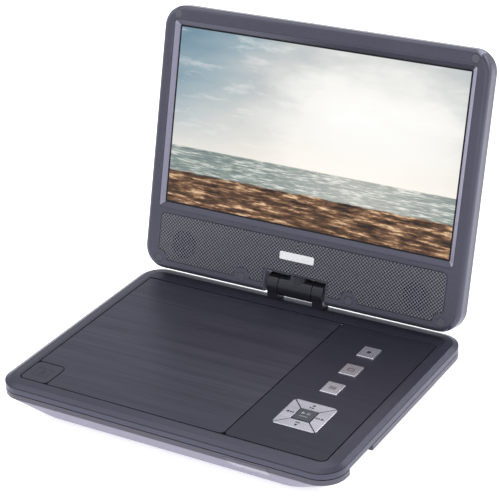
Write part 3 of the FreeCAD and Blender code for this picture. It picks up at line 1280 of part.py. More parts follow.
def lid_hollow(name, *levels):
    """The room inside a half of the lid, clear of the notch's wall and the screw posts."""
    cavity = Moulding(name)
    for z, inset in levels:
        cavity.pad(z, lid_outline(inset))
    low, high = "(-lid_back - past)", "(lid_front + past)"
    posts = [upright("lid_boss_radius", x, y, (low, high)) for x, y in CAP_PLACES]
    return less(cavity.body, notch((low, high), "notch_wall"), *posts)


def lid_front_bezel():
    bezel = plate("bezel_shell", ("lid_parting", "lid_front"), lid_outline("0"))
    bezel.round(flat_at("lid_front"), "lid_front_round")
    opening = screen_outline("screen_border", "screen_corner")
    bezel.pocket((FACE_INSIDE, "lid_front"), opening)
    bezel.loft((FACE_INSIDE, opening), ("lid_front", screen_outline("slope_reach", "slope_corner")),
               cuts=True)
    bezel.pocket(("lid_front - slope_step", "lid_front"),
                 screen_outline("slope_reach + slope_step", "slope_corner + slope_step"))
    tools = [lid_hollow("bezel_cavity", (("lid_parting - past", FACE_INSIDE), "lid_wall")),
             notch(("lid_parting - past", "lid_front + past")),
             grille_solid("grille_gap", ("lid_front - grille_thickness", "lid_front + past")), post_hole()]
    for x, y in CAP_PLACES:
        tools.append(upright("cap_radius + cap_clearance", x, y, (CAP_FLOOR, "lid_front + past")))
        tools.append(upright("lid_head_radius + screw_clearance", x, y,
                             (f"{CAP_FLOOR} - lid_head_height", "lid_front + past")))
        tools.append(upright("lid_screw_radius + screw_clearance", x, y, ("lid_parting - past", "lid_front")))
    for side in ("-", ""):
        tools.append(upright("speaker_radius - speaker_edge", f"{side}speaker_x", "speaker_y",
                             (f"{FACE_INSIDE} - past", "lid_front + past")))
    keep("lid_front_bezel", less(bezel.body, *tools), lid=True)


def lid_back_cover():
    cover = plate("back_shell", ("-lid_back", "lid_parting"), lid_outline("0"))
    cover.round(flat_at("-lid_back"), "lid_back_round")
    high = "lid_parting + past"
    hollow = lid_hollow("back_cavity", ((BACK_INSIDE, high), "lid_back_round"),
                        (("lid_back_round - lid_back", high), "lid_wall"))
    holes = [upright("lid_screw_radius", x, y, (BACK_INSIDE, high)) for x, y in CAP_PLACES]
    bite = notch(("-lid_back - past", high))
    keep("lid_back_cover", less(cover.body, hollow, bite, post_hole(), *holes), lid=True)


def screen():
    glass = plate("lcd_glass", (GLASS_UNDER, FACE_INSIDE), screen_outline("glass_reach", "screen_corner"))
    keep("lcd_glass", glass, lid=True)
    inside_z = (f"{MODULE_BACK} + module_wall", GLASS_UNDER)
    frame = plate("lcd_frame", (MODULE_BACK, GLASS_UNDER), screen_outline("module_reach", "module_corner"))
    frame.pocket(inside_z, screen_outline("module_reach - module_wall", "module_corner"))
    keep("lcd_frame", frame, lid=True)
    light_reach = "module_reach - module_wall - slack"
    keep("backlight", plate("backlight", inside_z, screen_outline(light_reach, "module_corner")), lid=True)
    keep("lcd_board", block(("-lcd_board_half_width", "lcd_board_half_width"),
                            ("lcd_board_low", "lcd_board_high"),
                            (f"{MODULE_BACK} - board_thickness", MODULE_BACK)), lid=True)


def speakers():
    drivers, cones = [], []
    basket_radius = "(speaker_radius - speaker_edge)"
    hollow_radius = f"({basket_radius} - basket_wall)"
    cone_floor = f"({FACE_INSIDE} - cone_floor)"
    for side in ("-", ""):
        at = (f"{side}speaker_x", "speaker_y")
        rim = upright("speaker_radius", *at, (f"{FACE_INSIDE} - speaker_rim", FACE_INSIDE))
        basket = upright(basket_radius, *at, (f"{FACE_INSIDE} - speaker_basket", f"{FACE_INSIDE} - past"))
        magnet = upright(f"{basket_radius} - speaker_edge", *at,
                         lift(f"{FACE_INSIDE} - speaker_depth", "magnet_height"))
        drivers.append(less(fused(rim, basket, magnet),
                            upright(hollow_radius, *at, (cone_floor, f"{FACE_INSIDE} + past"))))
        cone = Moulding("cone")
        cone.loft((cone_floor, circle(*at, "cone_radius")),
                  (f"{FACE_INSIDE} - cone_top", circle(*at, f"{hollow_radius} - slack")))
        cones.append(cone.body)
    keep("speakers", group(*drivers), lid=True)
    keep("speaker_cones", group(*cones), lid=True)


def grille_holes():
    """Staggered through holes in front of each speaker."""
    reach = value("speaker_radius - hole_margin")
    step = value("hole_pitch / 2")
    count = int(reach / step) + 1
    low = value("lid_front - grille_thickness - past")
    length = value("grille_thickness + 2 * past")
    drills = []
    for side in (-1, 1):
        middle = FreeCAD.Vector(side * value("speaker_x"), value("speaker_y"), low)
        for row in range(-count, count + 1):
            for column in range(-count, count + 1):
                shift = FreeCAD.Vector(column * step, row * step, 0)
                if (row + column) % 2 == 0 and shift.Length < reach:
                    drills.append(Part.makeCylinder(value("hole_radius"), length, middle + shift))
    holes = doc.addObject("Part::Feature", "grille_holes")
    holes.Shape = Part.makeCompound(drills)
    return holes


def speaker_grille():
    whole = grille_solid("0", ("lid_front - grille_thickness", "lid_front"))
    keep("speaker_grille", less(whole, grille_holes()), lid=True)
    keep("badge", plate("badge", lift("lid_front", "badge_thickness"), rounded(
        span("0", "badge_width"), span("badge_level", "badge_height"), "badge_corner")), lid=True)


def lid_fixings():
    head_under = f"({CAP_FLOOR} - lid_head_height)"
    caps = [upright("cap_radius", x, y, lift(CAP_FLOOR, "cap_thickness")) for x, y in CAP_PLACES]
    screws = [fused(upright("lid_head_radius", x, y, (head_under, CAP_FLOOR)),
                    upright("lid_screw_radius", x, y, (f"{BACK_INSIDE} + lid_screw_end", head_under)))
              for x, y in CAP_PLACES]
    keep("lid_screw_caps", group(*caps), lid=True)
    keep("lid_screws", group(*screws), lid=True)


for make in (base_top_cover, base_bottom_cover, port_panel, ir_window, feet, base_screws, disc_deck,
             turntable, traverse, pickup, disc_door, open_button, control_plate, oblong_keys, direction_keys,
             electronics, ports, volume, hinge_mount, swivel, lid_front_bezel, lid_back_cover, screen,
             speakers, speaker_grille, lid_fixings):
    make()

doc.recompute()
for thing in doc.Objects:
    if {"Invalid", "Error"} & set(thing.State):
        raise SystemExit(f"{thing.Name} ({thing.Label}) failed")
    if thing.TypeId in ("PartDesign::Pocket", "PartDesign::SubtractiveLoft"):
        if thing.Shape.Volume >= thing.BaseFeature.Shape.Volume:
            raise SystemExit(f"{thing.Name} cuts nothing")
for piece in parts:
    if piece.Shape.isNull() or not piece.Shape.isValid() or not piece.Shape.Solids:
        raise SystemExit(f"{piece.Label} is not a valid solid")

os.makedirs("parts", exist_ok=True)
for piece in parts:
    piece.Shape.exportStep(f"parts/{piece.Label}.step")
    print(f"{piece.Label}: {len(piece.Shape.Solids)} solids, {piece.Shape.Volume / 1000:.2f} cm3")
print(len(parts), "sub-parts")
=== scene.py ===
import json
import math

import bmesh
import bpy
from mathutils import Matrix, Vector


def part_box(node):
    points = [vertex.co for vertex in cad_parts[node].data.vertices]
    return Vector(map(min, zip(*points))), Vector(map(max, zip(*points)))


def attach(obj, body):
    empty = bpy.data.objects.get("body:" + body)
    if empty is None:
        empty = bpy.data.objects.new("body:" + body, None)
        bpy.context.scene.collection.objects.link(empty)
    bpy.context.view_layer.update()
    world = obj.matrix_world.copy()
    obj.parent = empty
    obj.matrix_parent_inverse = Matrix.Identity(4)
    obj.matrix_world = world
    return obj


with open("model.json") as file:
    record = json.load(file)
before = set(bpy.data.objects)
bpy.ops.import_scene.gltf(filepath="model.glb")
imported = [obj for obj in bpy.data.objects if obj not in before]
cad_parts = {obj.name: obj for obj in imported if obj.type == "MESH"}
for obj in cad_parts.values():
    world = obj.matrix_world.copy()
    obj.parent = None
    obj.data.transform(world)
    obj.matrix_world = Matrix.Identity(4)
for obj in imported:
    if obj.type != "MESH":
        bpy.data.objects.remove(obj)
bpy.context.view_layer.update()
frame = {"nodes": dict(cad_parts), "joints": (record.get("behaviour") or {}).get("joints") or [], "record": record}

MM = 0.001
NODES = frame["nodes"]
JOINTS = {joint["name"]: joint for joint in frame["joints"]}
TILT = Vector(JOINTS["lid_tilt"]["pos_m"])
LEAN = math.radians(15.63)  # how far the open lid leans back
LID_UP = Vector((0, math.sin(LEAN), math.cos(LEAN)))
LID_OUT = Vector((0, -math.cos(LEAN), math.sin(LEAN)))
LEGEND_THICKNESS = 0.03 * MM  # how far a printed mark or painted shade line stands off its surface
DETAIL_BEVEL = 0.35 * MM  # edges look rounded by this much
WELL_SHADE_LINE = 0.7  # painted shade line round a key well, its width in mm
KEY_WELL, PAD_WELL = (11.5, 12.5, 0.8), (28.9, 28.9, 4.3)  # width, height and corner, in mm
LEGEND_REACH = 8.4 * MM
HORIZON, SHORE = 0.327, 0.185  # parts of the picture's height
BASE_TOP = 25.0  # in mm
GLOSS_TINT = (0.86, 0.84, 1.0, 1.0)

# (height in mm, brightness): painted light and shade in bands by height: a painted shadow in the crease under the
# crown with a painted highlight on the wall below it, and on the lower housing a painted reflection on the taper,
# painted shade on the band and a painted shadow in the parting line
RIM_PAINTED_LIGHT_LEVELS = ((19.2, 1.5), (22.4, 1.4), (22.55, 0.12), (22.85, 0.12), (23.0, 1.0), (25.0, 1.0))
SHELL_PAINTED_LIGHT_LEVELS = ((3.2, 1.0), (14.6, 0.75), (15.5, 0.26), (18.6, 0.26), (18.75, 0.01), (25.0, 0.01))

SCREEN_WIDTH, SCREEN_HEIGHT, SCREEN_BOTTOM = 198.0 * MM, 111.7 * MM, 38.87 * MM
GRILLE_PITCH, GRILLE_HOLE = 1.15 * MM, 0.68 * MM
SPEAKER_X, SPEAKER_Y = 82.0 * MM, 12.87 * MM
SLOPE_HIGHLIGHT_REACH = 104.5 * MM  # how far out the painted highlight on the slopes beside the screen goes
FINE_GRAIN, BROAD_TONE = 9000.0, 28.0  # noise scales
TONE_SPREAD = 0.12


def lid_point(x, up, out):
    """A point on the lid, from the middle of the tilt axis, in metres."""
    return TILT + Vector((x, 0, 0)) + LID_UP * up + LID_OUT * out


# ---- materials ---------------------------------------------------------------------------------------------

class Paint:
    """A material and the nodes that make it."""

    def __init__(self, name):
        self.material = bpy.data.materials.new(name)
        self.material.use_nodes = True
        self.tree = self.material.node_tree
        self.shader = self.tree.nodes["Principled BSDF"]
        coordinates = self.tree.nodes.new("ShaderNodeTexCoord")
        self.place = coordinates.outputs["Object"]
        self.facing = coordinates.outputs["Normal"]
        self.normal = None

    def node(self, kind, inputs=(), output=0, **settings):
        made = self.tree.nodes.new("ShaderNode" + kind)
        for key, setting in settings.items():
            setattr(made, key, setting)
        for key, given in dict(inputs).items():
            self.feed(made.inputs[key], given)
        return made.outputs[output]

    def feed(self, socket, given):
        if isinstance(given, bpy.types.NodeSocket):
            self.tree.links.new(given, socket)
        elif socket.type == "RGBA":
            socket.default_value = (*given, 1.0) if len(given) == 3 else given
        else:
            socket.default_value = given

    def set(self, **inputs):
        for key, given in inputs.items():
            self.feed(self.shader.inputs[key.replace("_", " ")], given)
        return self

    def math(self, operation, *values):
        return self.node("Math", {number: item for number, item in enumerate(values)}, operation=operation)

    def along(self, direction, origin=(0, 0, 0)):
        """How far the surface point is from an origin along a direction."""
        away = self.node("VectorMath", {0: self.place, 1: tuple(origin)}, operation="SUBTRACT")
        return self.node("VectorMath", {0: away, 1: tuple(direction)}, output=1, operation="DOT_PRODUCT")

    def stretched(self, scale):
        return self.node("Mapping", {"Vector": self.place, "Scale": scale})

    def noise(self, scale, detail=2.0, where=None, rough=0.5):
        return self.node("TexNoise", {"Vector": where or self.place, "Scale": scale, "Detail": detail,
                                      "Roughness": rough})

    def ramp(self, factor, *stops):
        made = self.tree.nodes.new("ShaderNodeValToRGB")
        elements = made.color_ramp.elements
        while len(elements) < len(stops):
            elements.new(0.5)
        for element, (position, colour) in zip(elements, stops):
            element.position = position
            element.color = (*colour, 1.0) if isinstance(colour, tuple) else (colour, colour, colour, 1.0)
        self.feed(made.inputs[0], factor)
        return made.outputs[0]

    def mix(self, factor, first, second, blend="MIX"):
        made = self.tree.nodes.new("ShaderNodeMix")
        made.data_type = "RGBA"
        made.blend_type = blend
        self.feed(made.inputs[0], factor)
        self.feed(made.inputs[6], first)
        self.feed(made.inputs[7], second)
        return made.outputs[2]

    def step(self, value, edge, width):
        """0 below an edge and 1 above it."""
        return self.node("MapRange", {"Value": value, "From Min": edge - width, "From Max": edge + width},
                         interpolation_type="SMOOTHSTEP")

    def soften(self, radius=DETAIL_BEVEL):
        """Round the look of sharp edges."""
        self.normal = self.node("Bevel", {"Radius": radius}, samples=4)
        return self

    def bump(self, height, strength, distance):
        inputs = {"Height": height, "Strength": strength, "Distance": distance}
        if self.normal is not None:
            inputs["Normal"] = self.normal
        self.normal = self.node("Bump", inputs)
        return self

    def done(self):
        if self.normal is not None:
            self.feed(self.shader.inputs["Normal"], self.normal)
        return self.material


def shade(colour, amount):
    return tuple(part * amount for part in colour)


def moulded(name, colour, rough=0.42, metal=0.0, strength=0.12, soft=DETAIL_BEVEL, levels=None):
    """Moulded plastic or metal: a fine grain, with slight changes of tone and gloss.

    Levels are (height in mm, brightness) pairs that paint light and shade on it in level bands.
    """
    paint = Paint(name)
    tone = paint.noise(BROAD_TONE, 3.0)
    fine = paint.noise(FINE_GRAIN)
    base = paint.mix(tone, shade(colour, 1 - TONE_SPREAD), shade(colour, 1 + TONE_SPREAD))
    base = paint.mix(fine, shade(colour, 0.92), base)
    # painted light and shade: the colour is scaled by brightness bands by height
    if levels:
        height = paint.math("DIVIDE", paint.along((0, 0, 1)), BASE_TOP * MM)
        bands = paint.ramp(height, *[(level / BASE_TOP, amount) for level, amount in levels])
        base = paint.mix(1.0, base, bands, "MULTIPLY")
    paint.set(Base_Color=base, Metallic=metal)
    paint.set(Roughness=paint.math("MULTIPLY_ADD", fine, 0.16, rough - 0.08))
    paint.shader.inputs["Specular Tint"].default_value = GLOSS_TINT
    if soft:
        paint.soften(soft)
    return paint.bump(fine, strength, 0.05 * MM).done()


def brushed(name, dark, light, rough, metal, across=2600.0, along=26.0, strength=0.25):
    """Fine lines along X."""
    paint = Paint(name)
    lines = paint.noise(1.0, 4.0, paint.stretched((along, across, 300.0)), 0.65)
    broad = paint.noise(1.0, 2.0, paint.stretched((9.0, 260.0, 60.0)))
    mixed = paint.math("MULTIPLY_ADD", broad, 0.45, paint.math("MULTIPLY", lines, 0.55))
    sharp = paint.ramp(mixed, (0.3, 0.0), (0.72, 1.0))
    paint.set(Base_Color=paint.mix(sharp, dark, light), Metallic=metal)
    paint.set(Roughness=paint.math("MULTIPLY_ADD", sharp, -0.12, rough + 0.06))
    paint.shader.inputs["Specular Tint"].default_value = GLOSS_TINT
    paint.soften(0.3 * MM)
    return paint.bump(lines, strength, 0.02 * MM).done()


def surround_paint(name, colour):
    """The lid's front moulding, with a painted highlight on the slopes at the left and right of the screen."""
    paint = Paint(name)
    tone = paint.noise(BROAD_TONE, 3.0)
    fine = paint.noise(FINE_GRAIN)
    base = paint.mix(tone, shade(colour, 0.85), shade(colour, 1.15))
    sideways = paint.node("VectorMath", {0: paint.facing, 1: (1, 0, 0)}, output=1, operation="DOT_PRODUCT")
    inside = paint.math("LESS_THAN", paint.math("ABSOLUTE", paint.along((1, 0, 0))), SLOPE_HIGHLIGHT_REACH)
    # painted highlight: the slopes beside the screen get a brighter colour
    slope_highlight = paint.math("MULTIPLY", paint.step(paint.math("ABSOLUTE", sideways), 0.3, 0.1), inside)
    paint.set(Base_Color=paint.mix(slope_highlight, base, (0.26, 0.25, 0.33)), Metallic=0.35)
    paint.set(Roughness=paint.math("MULTIPLY_ADD", fine, 0.14, 0.21))
    paint.shader.inputs["Specular Tint"].default_value = GLOSS_TINT
    paint.soften()
    return paint.bump(fine, 0.12, 0.05 * MM).done()


def grille_paint(name, colour):
    """Rows of round dimples, each row half a pitch along from the last, painted near black as painted shade in the
    hollows.
    """
    paint = Paint(name)
    across = paint.math("SUBTRACT", paint.math("ABSOLUTE", paint.along((1, 0, 0))), SPEAKER_X)
    up = paint.math("SUBTRACT", paint.along(LID_UP, TILT), SPEAKER_Y)
    turned = [paint.math("DIVIDE", paint.math(operation, across, up), 2 * GRILLE_PITCH)
              for operation in ("ADD", "SUBTRACT")]
    cells = [paint.math("SUBTRACT", item, paint.math("ROUND", item)) for item in turned]
    squared = paint.math("ADD", *[paint.math("MULTIPLY", cell, cell) for cell in cells])
    reach = paint.math("MULTIPLY", paint.math("SQRT", squared), GRILLE_PITCH * math.sqrt(2))
    facing = paint.node("VectorMath", {0: paint.facing, 1: tuple(LID_OUT)}, output=1, operation="DOT_PRODUCT")
    edge = paint.step(reach, GRILLE_HOLE, 0.09 * MM)
    solid = paint.math("MAXIMUM", edge, paint.math("LESS_THAN", facing, 0.5))
    fine = paint.noise(FINE_GRAIN)
    body = paint.mix(fine, shade(colour, 0.9), shade(colour, 1.12))
    # the dimples are painted near black: painted shade in the hollows
    paint.set(Base_Color=paint.mix(solid, (0.006, 0.006, 0.008), body), Roughness=0.45)
    paint.bump(solid, 0.8, 0.35 * MM)
    return paint.bump(fine, 0.1, 0.05 * MM).done()


def picture_paint(name):
    """A lit screen that shows an empty beach: sky with a low sun behind cloud, sea and sand."""
    paint = Paint(name)
    across = paint.math("DIVIDE", paint.along((1, 0, 0)), SCREEN_WIDTH)
    up = paint.math("DIVIDE", paint.along(LID_UP, lid_point(0, SCREEN_BOTTOM, 0)), SCREEN_HEIGHT)
    where = paint.node("CombineXYZ", {0: across, 1: up})

    def stretched(x, y):
        return paint.node("Mapping", {"Vector": where, "Scale": (x, y, 1.0)})

    glow_x = paint.math("SUBTRACT", across, 0.19)
    glow_y = paint.math("MULTIPLY", paint.math("SUBTRACT", up, 0.5), 0.75)
    distance = paint.math("SQRT", paint.math("ADD", paint.math("MULTIPLY", glow_x, glow_x),
                                             paint.math("MULTIPLY", glow_y, glow_y)))
    cloud = paint.noise(1.0, 5.0, stretched(3.2, 4.6), 0.55)
    wisps = paint.noise(1.0, 6.0, stretched(6.0, 14.0), 0.6)
    reach = paint.math("MULTIPLY_ADD", paint.math("SUBTRACT", cloud, 0.5), -0.34, distance)
    sky = paint.ramp(reach, (0.12, (1.0, 1.0, 0.98)), (0.26, (0.93, 0.92, 0.88)), (0.44, (0.55, 0.58, 0.58)),
                     (0.60, (0.33, 0.43, 0.48)), (0.76, (0.17, 0.28, 0.36)))
    haze = paint.ramp(up, (0.33, (1.0, 0.93, 0.84)), (0.62, (0.80, 0.79, 0.75)))
    low = paint.ramp(up, (0.33, 0.7), (0.72, 0.0))
    sky = paint.mix(low, sky, haze)
    sky = paint.mix(paint.ramp(wisps, (0.54, 0.0), (0.74, 0.5)), sky, (0.95, 0.93, 0.90))
    waves = paint.noise(1.0, 6.0, stretched(26.0, 150.0), 0.6)
    swell = paint.noise(1.0, 3.0, stretched(7.0, 46.0), 0.5)
    water = paint.math("MULTIPLY_ADD", waves, 0.6, paint.math("MULTIPLY", swell, 0.4))
    sea = paint.ramp(water, (0.38, (0.07, 0.11, 0.10)), (0.5, (0.22, 0.28, 0.25)), (0.6, (0.85, 0.85, 0.78)))
    bright = paint.ramp(paint.math("ABSOLUTE", glow_x), (0.0, (1.0, 0.96, 0.90)), (0.42, (0.30, 0.36, 0.36)))
    sea = paint.mix(0.35, sea, bright)
    far = paint.ramp(up, (0.0, 1.0), (0.2, 0.0))
    dunes = paint.noise(1.0, 3.0, stretched(11.0, 42.0), 0.5)
    ripples = paint.noise(1.0, 8.0, stretched(36.0, 110.0), 0.7)
    ground = paint.math("MULTIPLY_ADD", dunes, 0.62, paint.math("MULTIPLY", ripples, 0.38))
    sand = paint.ramp(ground, (0.39, (0.010, 0.006, 0.005)), (0.48, (0.085, 0.042, 0.022)),
                      (0.54, (0.27, 0.14, 0.07)), (0.62, (0.88, 0.60, 0.36)))
    sand = paint.mix(paint.math("MULTIPLY", far, 0.12), sand, (0.16, 0.07, 0.03))
    wander = paint.math("SUBTRACT", paint.noise(1.0, 4.0, stretched(16.0, 2.0)), 0.5)
    shore = paint.math("ADD", up, paint.math("MULTIPLY", wander, 0.03))
    scene = paint.mix(paint.step(up, HORIZON, 0.003), sea, sky)
    scene = paint.mix(paint.step(shore, SHORE, 0.006), sand, scene)
    inside = paint.math("MULTIPLY", paint.math("LESS_THAN", paint.math("ABSOLUTE", across), 0.5),
                        paint.math("MULTIPLY", paint.math("GREATER_THAN", up, 0.0),
                                   paint.math("LESS_THAN", up, 1.0)))
    picture = paint.mix(inside, (0.002, 0.002, 0.003), scene)
    paint.set(Base_Color=(0.004, 0.004, 0.005), Roughness=0.22, Emission_Color=picture, Emission_Strength=1.0)
    paint.shader.inputs["Specular IOR Level"].default_value = 0.25
    return paint.done()


def board_paint(name, colour):
    """A circuit board: tracks and pads on solder mask."""
    paint = Paint(name)
    tracks = paint.node("TexBrick", {"Vector": paint.place, "Scale": 260.0, "Mortar Size": 0.03,
                                     "Color1": shade(colour, 1.0), "Color2": shade(colour, 1.3),
                                     "Mortar": shade(colour, 2.4)})
    pads = paint.node("TexVoronoi", {"Vector": paint.place, "Scale": 420.0})
    dots = paint.step(pads, 0.16, 0.03)
    paint.set(Base_Color=paint.mix(dots, (0.55, 0.42, 0.18), tracks), Roughness=0.35)
    return paint.bump(dots, 0.3, 0.05 * MM).done()


def wrap_paint(name, colour):
    """Printed film round the cells."""
    paint = Paint(name)
    seam = paint.node("TexWave", {"Vector": paint.place, "Scale": 14.0, "Distortion": 0.0})
    tone = paint.noise(60.0, 4.0)
    paint.set(Base_Color=paint.mix(tone, shade(colour, 0.8), shade(colour, 1.25)), Roughness=0.3)
    return paint.bump(seam, 0.15, 0.3 * MM).done()


RIM = (0.038, 0.037, 0.056)
PAINTS = {
    # the rim, shell and window colours carry painted light and shade in bands by height
    "rim_plastic": moulded("rim", RIM, 0.30, metal=0.35, levels=RIM_PAINTED_LIGHT_LEVELS),
    "shell_plastic": moulded("shell", (0.30, 0.285, 0.36), 0.34, metal=0.35, levels=SHELL_PAINTED_LIGHT_LEVELS),
    "port_plastic": moulded("port", (0.020, 0.020, 0.024), 0.55),
    "window_plastic": moulded("window", (0.36, 0.34, 0.43), 0.14, strength=0.03, levels=SHELL_PAINTED_LIGHT_LEVELS),
    "rubber": moulded("rubber", (0.020, 0.020, 0.024), 0.62, strength=0.3),
    "screw_steel": moulded("screw", (0.42, 0.42, 0.43), 0.32, metal=1.0),
    "deck_plastic": moulded("deck", (0.022, 0.022, 0.026), 0.5),
    "hub_plastic": moulded("hub", (0.035, 0.035, 0.04), 0.3),
    "mechanism_plastic": moulded("mechanism", (0.08, 0.08, 0.085), 0.45),
    "polished_steel": moulded("steel", (0.60, 0.60, 0.62), 0.18, metal=1.0, strength=0.04),
    "motor_metal": moulded("motor", (0.45, 0.44, 0.43), 0.3, metal=1.0),
    "lens_glass": moulded("lens", (0.03, 0.05, 0.16), 0.05, strength=0.01),
    "door_plastic": brushed("door", (0.026, 0.026, 0.038), (0.066, 0.065, 0.092), 0.36, 0.5, strength=0.15),
    "button_plastic": moulded("open_button", (0.038, 0.037, 0.055), 0.38, metal=0.4),
    "plate_plastic": brushed("key_plate", (0.018, 0.018, 0.028), (0.028, 0.028, 0.042), 0.40, 0.4,
                             strength=0.1),
    "key_silver": brushed("key_silver", (0.40, 0.39, 0.45), (0.62, 0.61, 0.69), 0.24, 0.8,
                          1500.0, 40.0, 0.04),
    "key_dark": moulded("key_dark", (0.060, 0.060, 0.072), 0.34, metal=0.3),
    "circuit_board": board_paint("board", (0.008, 0.075, 0.030)),
    "battery_wrap": wrap_paint("battery", (0.02, 0.06, 0.16)),
    "switch_plastic": moulded("switch", (0.05, 0.05, 0.052), 0.5),
    "socket_metal": moulded("socket", (0.55, 0.55, 0.56), 0.28, metal=1.0),
    "knob_plastic": moulded("knob", (0.04, 0.04, 0.046), 0.45, strength=0.3),
    "hinge_plastic": moulded("hinge", (0.020, 0.020, 0.026), 0.28, metal=0.2),
    "bracket_steel": moulded("bracket", (0.50, 0.50, 0.50), 0.36, metal=1.0),
    "lid_plastic": surround_paint("lid", (0.066, 0.065, 0.090)),
    "lid_back_plastic": moulded("lid_back", (0.040, 0.039, 0.052), 0.34, metal=0.25),
    "screen_glass": picture_paint("screen"),
    "backlight_plastic": moulded("backlight", (0.75, 0.75, 0.74), 0.5),
    "speaker_plastic": moulded("speaker", (0.03, 0.03, 0.032), 0.5),
    "speaker_cone": moulded("cone", (0.018, 0.018, 0.018), 0.7, strength=0.5),
    "grille_plastic": grille_paint("grille", (0.160, 0.157, 0.200)),
    "badge_metal": moulded("badge", (0.82, 0.82, 0.84), 0.25, metal=0.4, strength=0.05),
}

for subpart in frame["record"]["subparts"]:
    target = NODES[subpart["node"]]
    for slot in target.material_slots:
        slot.material = PAINTS[subpart["material_slot"]]
CAP_RUBBER = moulded("cap_rubber", (0.075, 0.074, 0.090), 0.55, strength=0.25)
for slot in NODES["lid_screw_caps"].material_slots:
    slot.material = CAP_RUBBER


# ---- printed marks and painted shade lines -----------------------------------------------------------------

# dark print for the legends, and painted shade for the lines round the key wells
DARK_PRINT_AND_SHADE = moulded("print_and_shade_dark", (0.012, 0.012, 0.015), 0.5, soft=0)
MARK_GREY = moulded("mark_grey", (0.010, 0.010, 0.014), 0.5, soft=0)
MARK_PALE = moulded("mark_pale", (0.30, 0.30, 0.34), 0.5, soft=0)


def triangle(x, y, size, angle):
    """A triangle that points along an angle, in degrees from X."""
    turn = math.radians(angle)
    corners = [(0.55 * size, 0), (-0.45 * size, 0.55 * size), (-0.45 * size, -0.55 * size)]
    return [(x + a * math.cos(turn) - b * math.sin(turn), y + a * math.sin(turn) + b * math.cos(turn))
            for a, b in corners]


def bar(x, y, width, height):
    return [(x - width / 2, y - height / 2), (x + width / 2, y - height / 2),
            (x + width / 2, y + height / 2), (x - width / 2, y + height / 2)]


def ring_bars(x, y, width, height, line):
    """The four sides of an empty box."""
    return [bar(x, y + height / 2, width, line), bar(x, y - height / 2, width, line),
            bar(x - width / 2, y, line, height), bar(x + width / 2, y, line, height)]


def frame_ring(width, height, corner, line, steps=5):
    """A rounded frame, as one quad for each length of its outline."""
    loops = []
    for grow in (0, line):
        loop = []
        for side_x, side_y, start in ((1, 1, 0), (-1, 1, 90), (-1, -1, 180), (1, -1, 270)):
            for step in range(steps + 1):
                turn = math.radians(start + 90 * step / steps)
                loop.append((side_x * (width / 2 - corner) + (corner + grow) * math.cos(turn),
                             side_y * (height / 2 - corner) + (corner + grow) * math.sin(turn)))
        loops.append(loop)
    inner, outer = loops
    return [(inner[number - 1], inner[number], outer[number], outer[number - 1])
            for number in range(len(inner))]


def mark(name, outlines, origin, body, material):
    """Thin printed shapes, or painted shade lines, each an outline in millimetres about an origin on a level
    surface.
    """
    mesh = bpy.data.meshes.new(name)
    shape = bmesh.new()
    for outline in outlines:
        low = [shape.verts.new(origin + Vector((x * MM, y * MM, 0))) for x, y in outline]
        high = [shape.verts.new(vert.co + Vector((0, 0, LEGEND_THICKNESS))) for vert in low]
        shape.faces.new(high)
        shape.faces.new(low[::-1])
        for number in range(len(low)):
            after = (number + 1) % len(low)
            shape.faces.new((low[number], low[after], high[after], high[number]))
    bmesh.ops.recalc_face_normals(shape, faces=shape.faces)
    shape.to_mesh(mesh)
    shape.free()
    mesh.materials.append(material)
    piece = bpy.data.objects.new(name, mesh)
    bpy.context.scene.collection.objects.link(piece)
    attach(piece, body)
    return piece


def top_of(node):
    """The middle of a node's top face."""
    low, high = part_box(node)
    return Vector(((low.x + high.x) / 2, (low.y + high.y) / 2, high.z))


middle = top_of("key_enter")
pad_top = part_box("key_up")[1].z
for name, angle in (("key_right", 0), ("key_up", 90), ("key_left", 180), ("key_down", 270)):
    turn = math.radians(angle)
    out = Vector((math.cos(turn), math.sin(turn), 0)) * LEGEND_REACH
    place = Vector((middle.x, middle.y, pad_top)) + out
    far = (2.7 * math.cos(turn), 2.7 * math.sin(turn))
    skips = 0 if angle in (0, 90) else 180
    shapes = [triangle(*far, 2.0, angle), triangle(-0.9, 0, 1.5, skips), triangle(0.6, 0, 1.5, skips)]
    mark(f"mark_{name}", shapes, place, name, DARK_PRINT_AND_SHADE)
mark("mark_key_enter", [triangle(-1.6, 1.2, 2.2, 0), bar(1.0, 1.2, 0.5, 2.2), bar(2.1, 1.2, 0.5, 2.2),
                        bar(0, -2.0, 5.0, 0.5)], middle, "key_enter", MARK_PALE)
mark("mark_button_1", [bar(0, 0.9, 4.6, 0.45), bar(0, -0.2, 4.6, 0.45), bar(0, -1.3, 4.6, 0.45)],
     top_of("button_1"), "button_1", MARK_GREY)
mark("mark_button_2", ring_bars(0, 0, 3.6, 2.6, 0.45), top_of("button_2"), "button_2", MARK_GREY)
mark("mark_button_3", [bar(0, 0, 2.4, 2.4)], top_of("button_3"), "button_3", MARK_GREY)
plate_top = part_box("control_plate")[1].z
# a painted shade line round each key well, for the shade in the gap round the key
for name in ("button_1", "button_2", "button_3", "pad"):
    width, height, corner = PAD_WELL if name == "pad" else KEY_WELL
    place = middle if name == "pad" else top_of(name)
    mark(f"well_shade_{name}", frame_ring(width, height, corner, WELL_SHADE_LINE),
         Vector((place.x, place.y, plate_top)), "base", DARK_PRINT_AND_SHADE)
tab_top = top_of("open_button")
mark("mark_open", [triangle(0, 1.2, 4.2, 90), bar(0, -2.1, 4.6, 1.0), *ring_bars(0, 0, 10.2, 8.4, 0.5)],
     tab_top, "open_button", MARK_GREY)


# ---- floor, light and camera -------------------------------------------------------------------------------

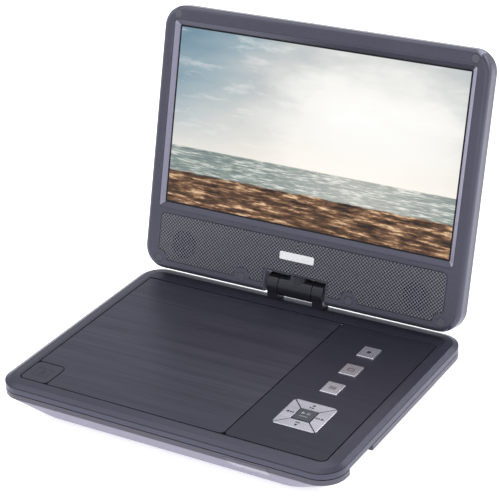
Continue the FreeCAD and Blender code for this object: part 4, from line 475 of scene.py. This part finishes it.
def floor():
    mesh = bpy.data.meshes.new("floor")
    shape = bmesh.new()
    bmesh.ops.create_grid(shape, x_segments=1, y_segments=1, size=12.0)
    shape.to_mesh(mesh)
    shape.free()
    paint = Paint("floor")
    grain = paint.noise(40.0, 3.0)
    tone = paint.mix(grain, (0.93, 0.93, 0.935), (0.95, 0.95, 0.95))
    paint.set(Base_Color=tone, Roughness=0.7, Emission_Color=(1, 1, 1), Emission_Strength=0.55)
    paint.shader.inputs["Specular IOR Level"].default_value = 0.1
    mesh.materials.append(paint.done())
    ground = bpy.data.objects.new("floor", mesh)
    bpy.context.scene.collection.objects.link(ground)


def light(name, place, target, size, power, colour=(1, 1, 1)):
    lamp = bpy.data.lights.new(name, "AREA")
    lamp.shape = "RECTANGLE"
    lamp.size, lamp.size_y = size
    lamp.energy = power
    lamp.color = colour
    holder = bpy.data.objects.new(name, lamp)
    holder.location = place
    holder.rotation_euler = (Vector(target) - Vector(place)).to_track_quat("-Z", "Y").to_euler()
    bpy.context.scene.collection.objects.link(holder)


def camera(place, azimuth, elevation, roll, lens):
    """A camera at a place, looking down on the object from an azimuth, rolled about its own axis."""
    azimuth, elevation, roll = (math.radians(angle) for angle in (azimuth, elevation, roll))
    forward = Vector((-math.sin(azimuth) * math.cos(elevation), math.cos(azimuth) * math.cos(elevation),
                      -math.sin(elevation)))
    level = forward.cross(Vector((0, 0, 1))).normalized()
    right = Matrix.Rotation(roll, 3, forward) @ level
    up = right.cross(forward)
    data = bpy.data.cameras.new("camera")
    data.lens = lens
    data.sensor_width = 36.0
    data.clip_end = 50.0
    holder = bpy.data.objects.new("camera", data)
    turn = Matrix((right, up, -forward)).transposed().to_4x4()
    holder.matrix_world = Matrix.Translation(place) @ turn
    bpy.context.scene.collection.objects.link(holder)
    bpy.context.scene.camera = holder


EYE = (0.49196, -0.79672, 0.54632)
AZIMUTH, ELEVATION, ROLL, LENS = 31.656, 26.209, 2.69, 128.24

floor()
light("overhead", (-0.5, 0.3, 1.7), (0, 0, 0.05), (1.8, 1.4), 12)
light("left", (-1.5, -0.7, 0.9), (0, 0, 0.08), (1.2, 1.2), 8)
light("right", (1.5, 0.1, 0.8), (0, 0, 0.1), (0.9, 1.2), 7)
light("front", (0.3, -1.7, 0.7), (0, 0, 0.05), (1.6, 0.8), 4)
light("rim", (0.9, 0.9, 1.1), (0, 0, 0.1), (1.4, 0.35), 10)
camera(EYE, AZIMUTH, ELEVATION, ROLL, LENS)

world = bpy.data.worlds.new("studio")
bpy.context.scene.world = world
world.use_nodes = True
world.node_tree.nodes["Background"].inputs["Color"].default_value = (0.97, 0.98, 1.0, 1.0)
world.node_tree.nodes["Background"].inputs["Strength"].default_value = 0.75
bpy.context.scene.view_settings.view_transform = "Standard"
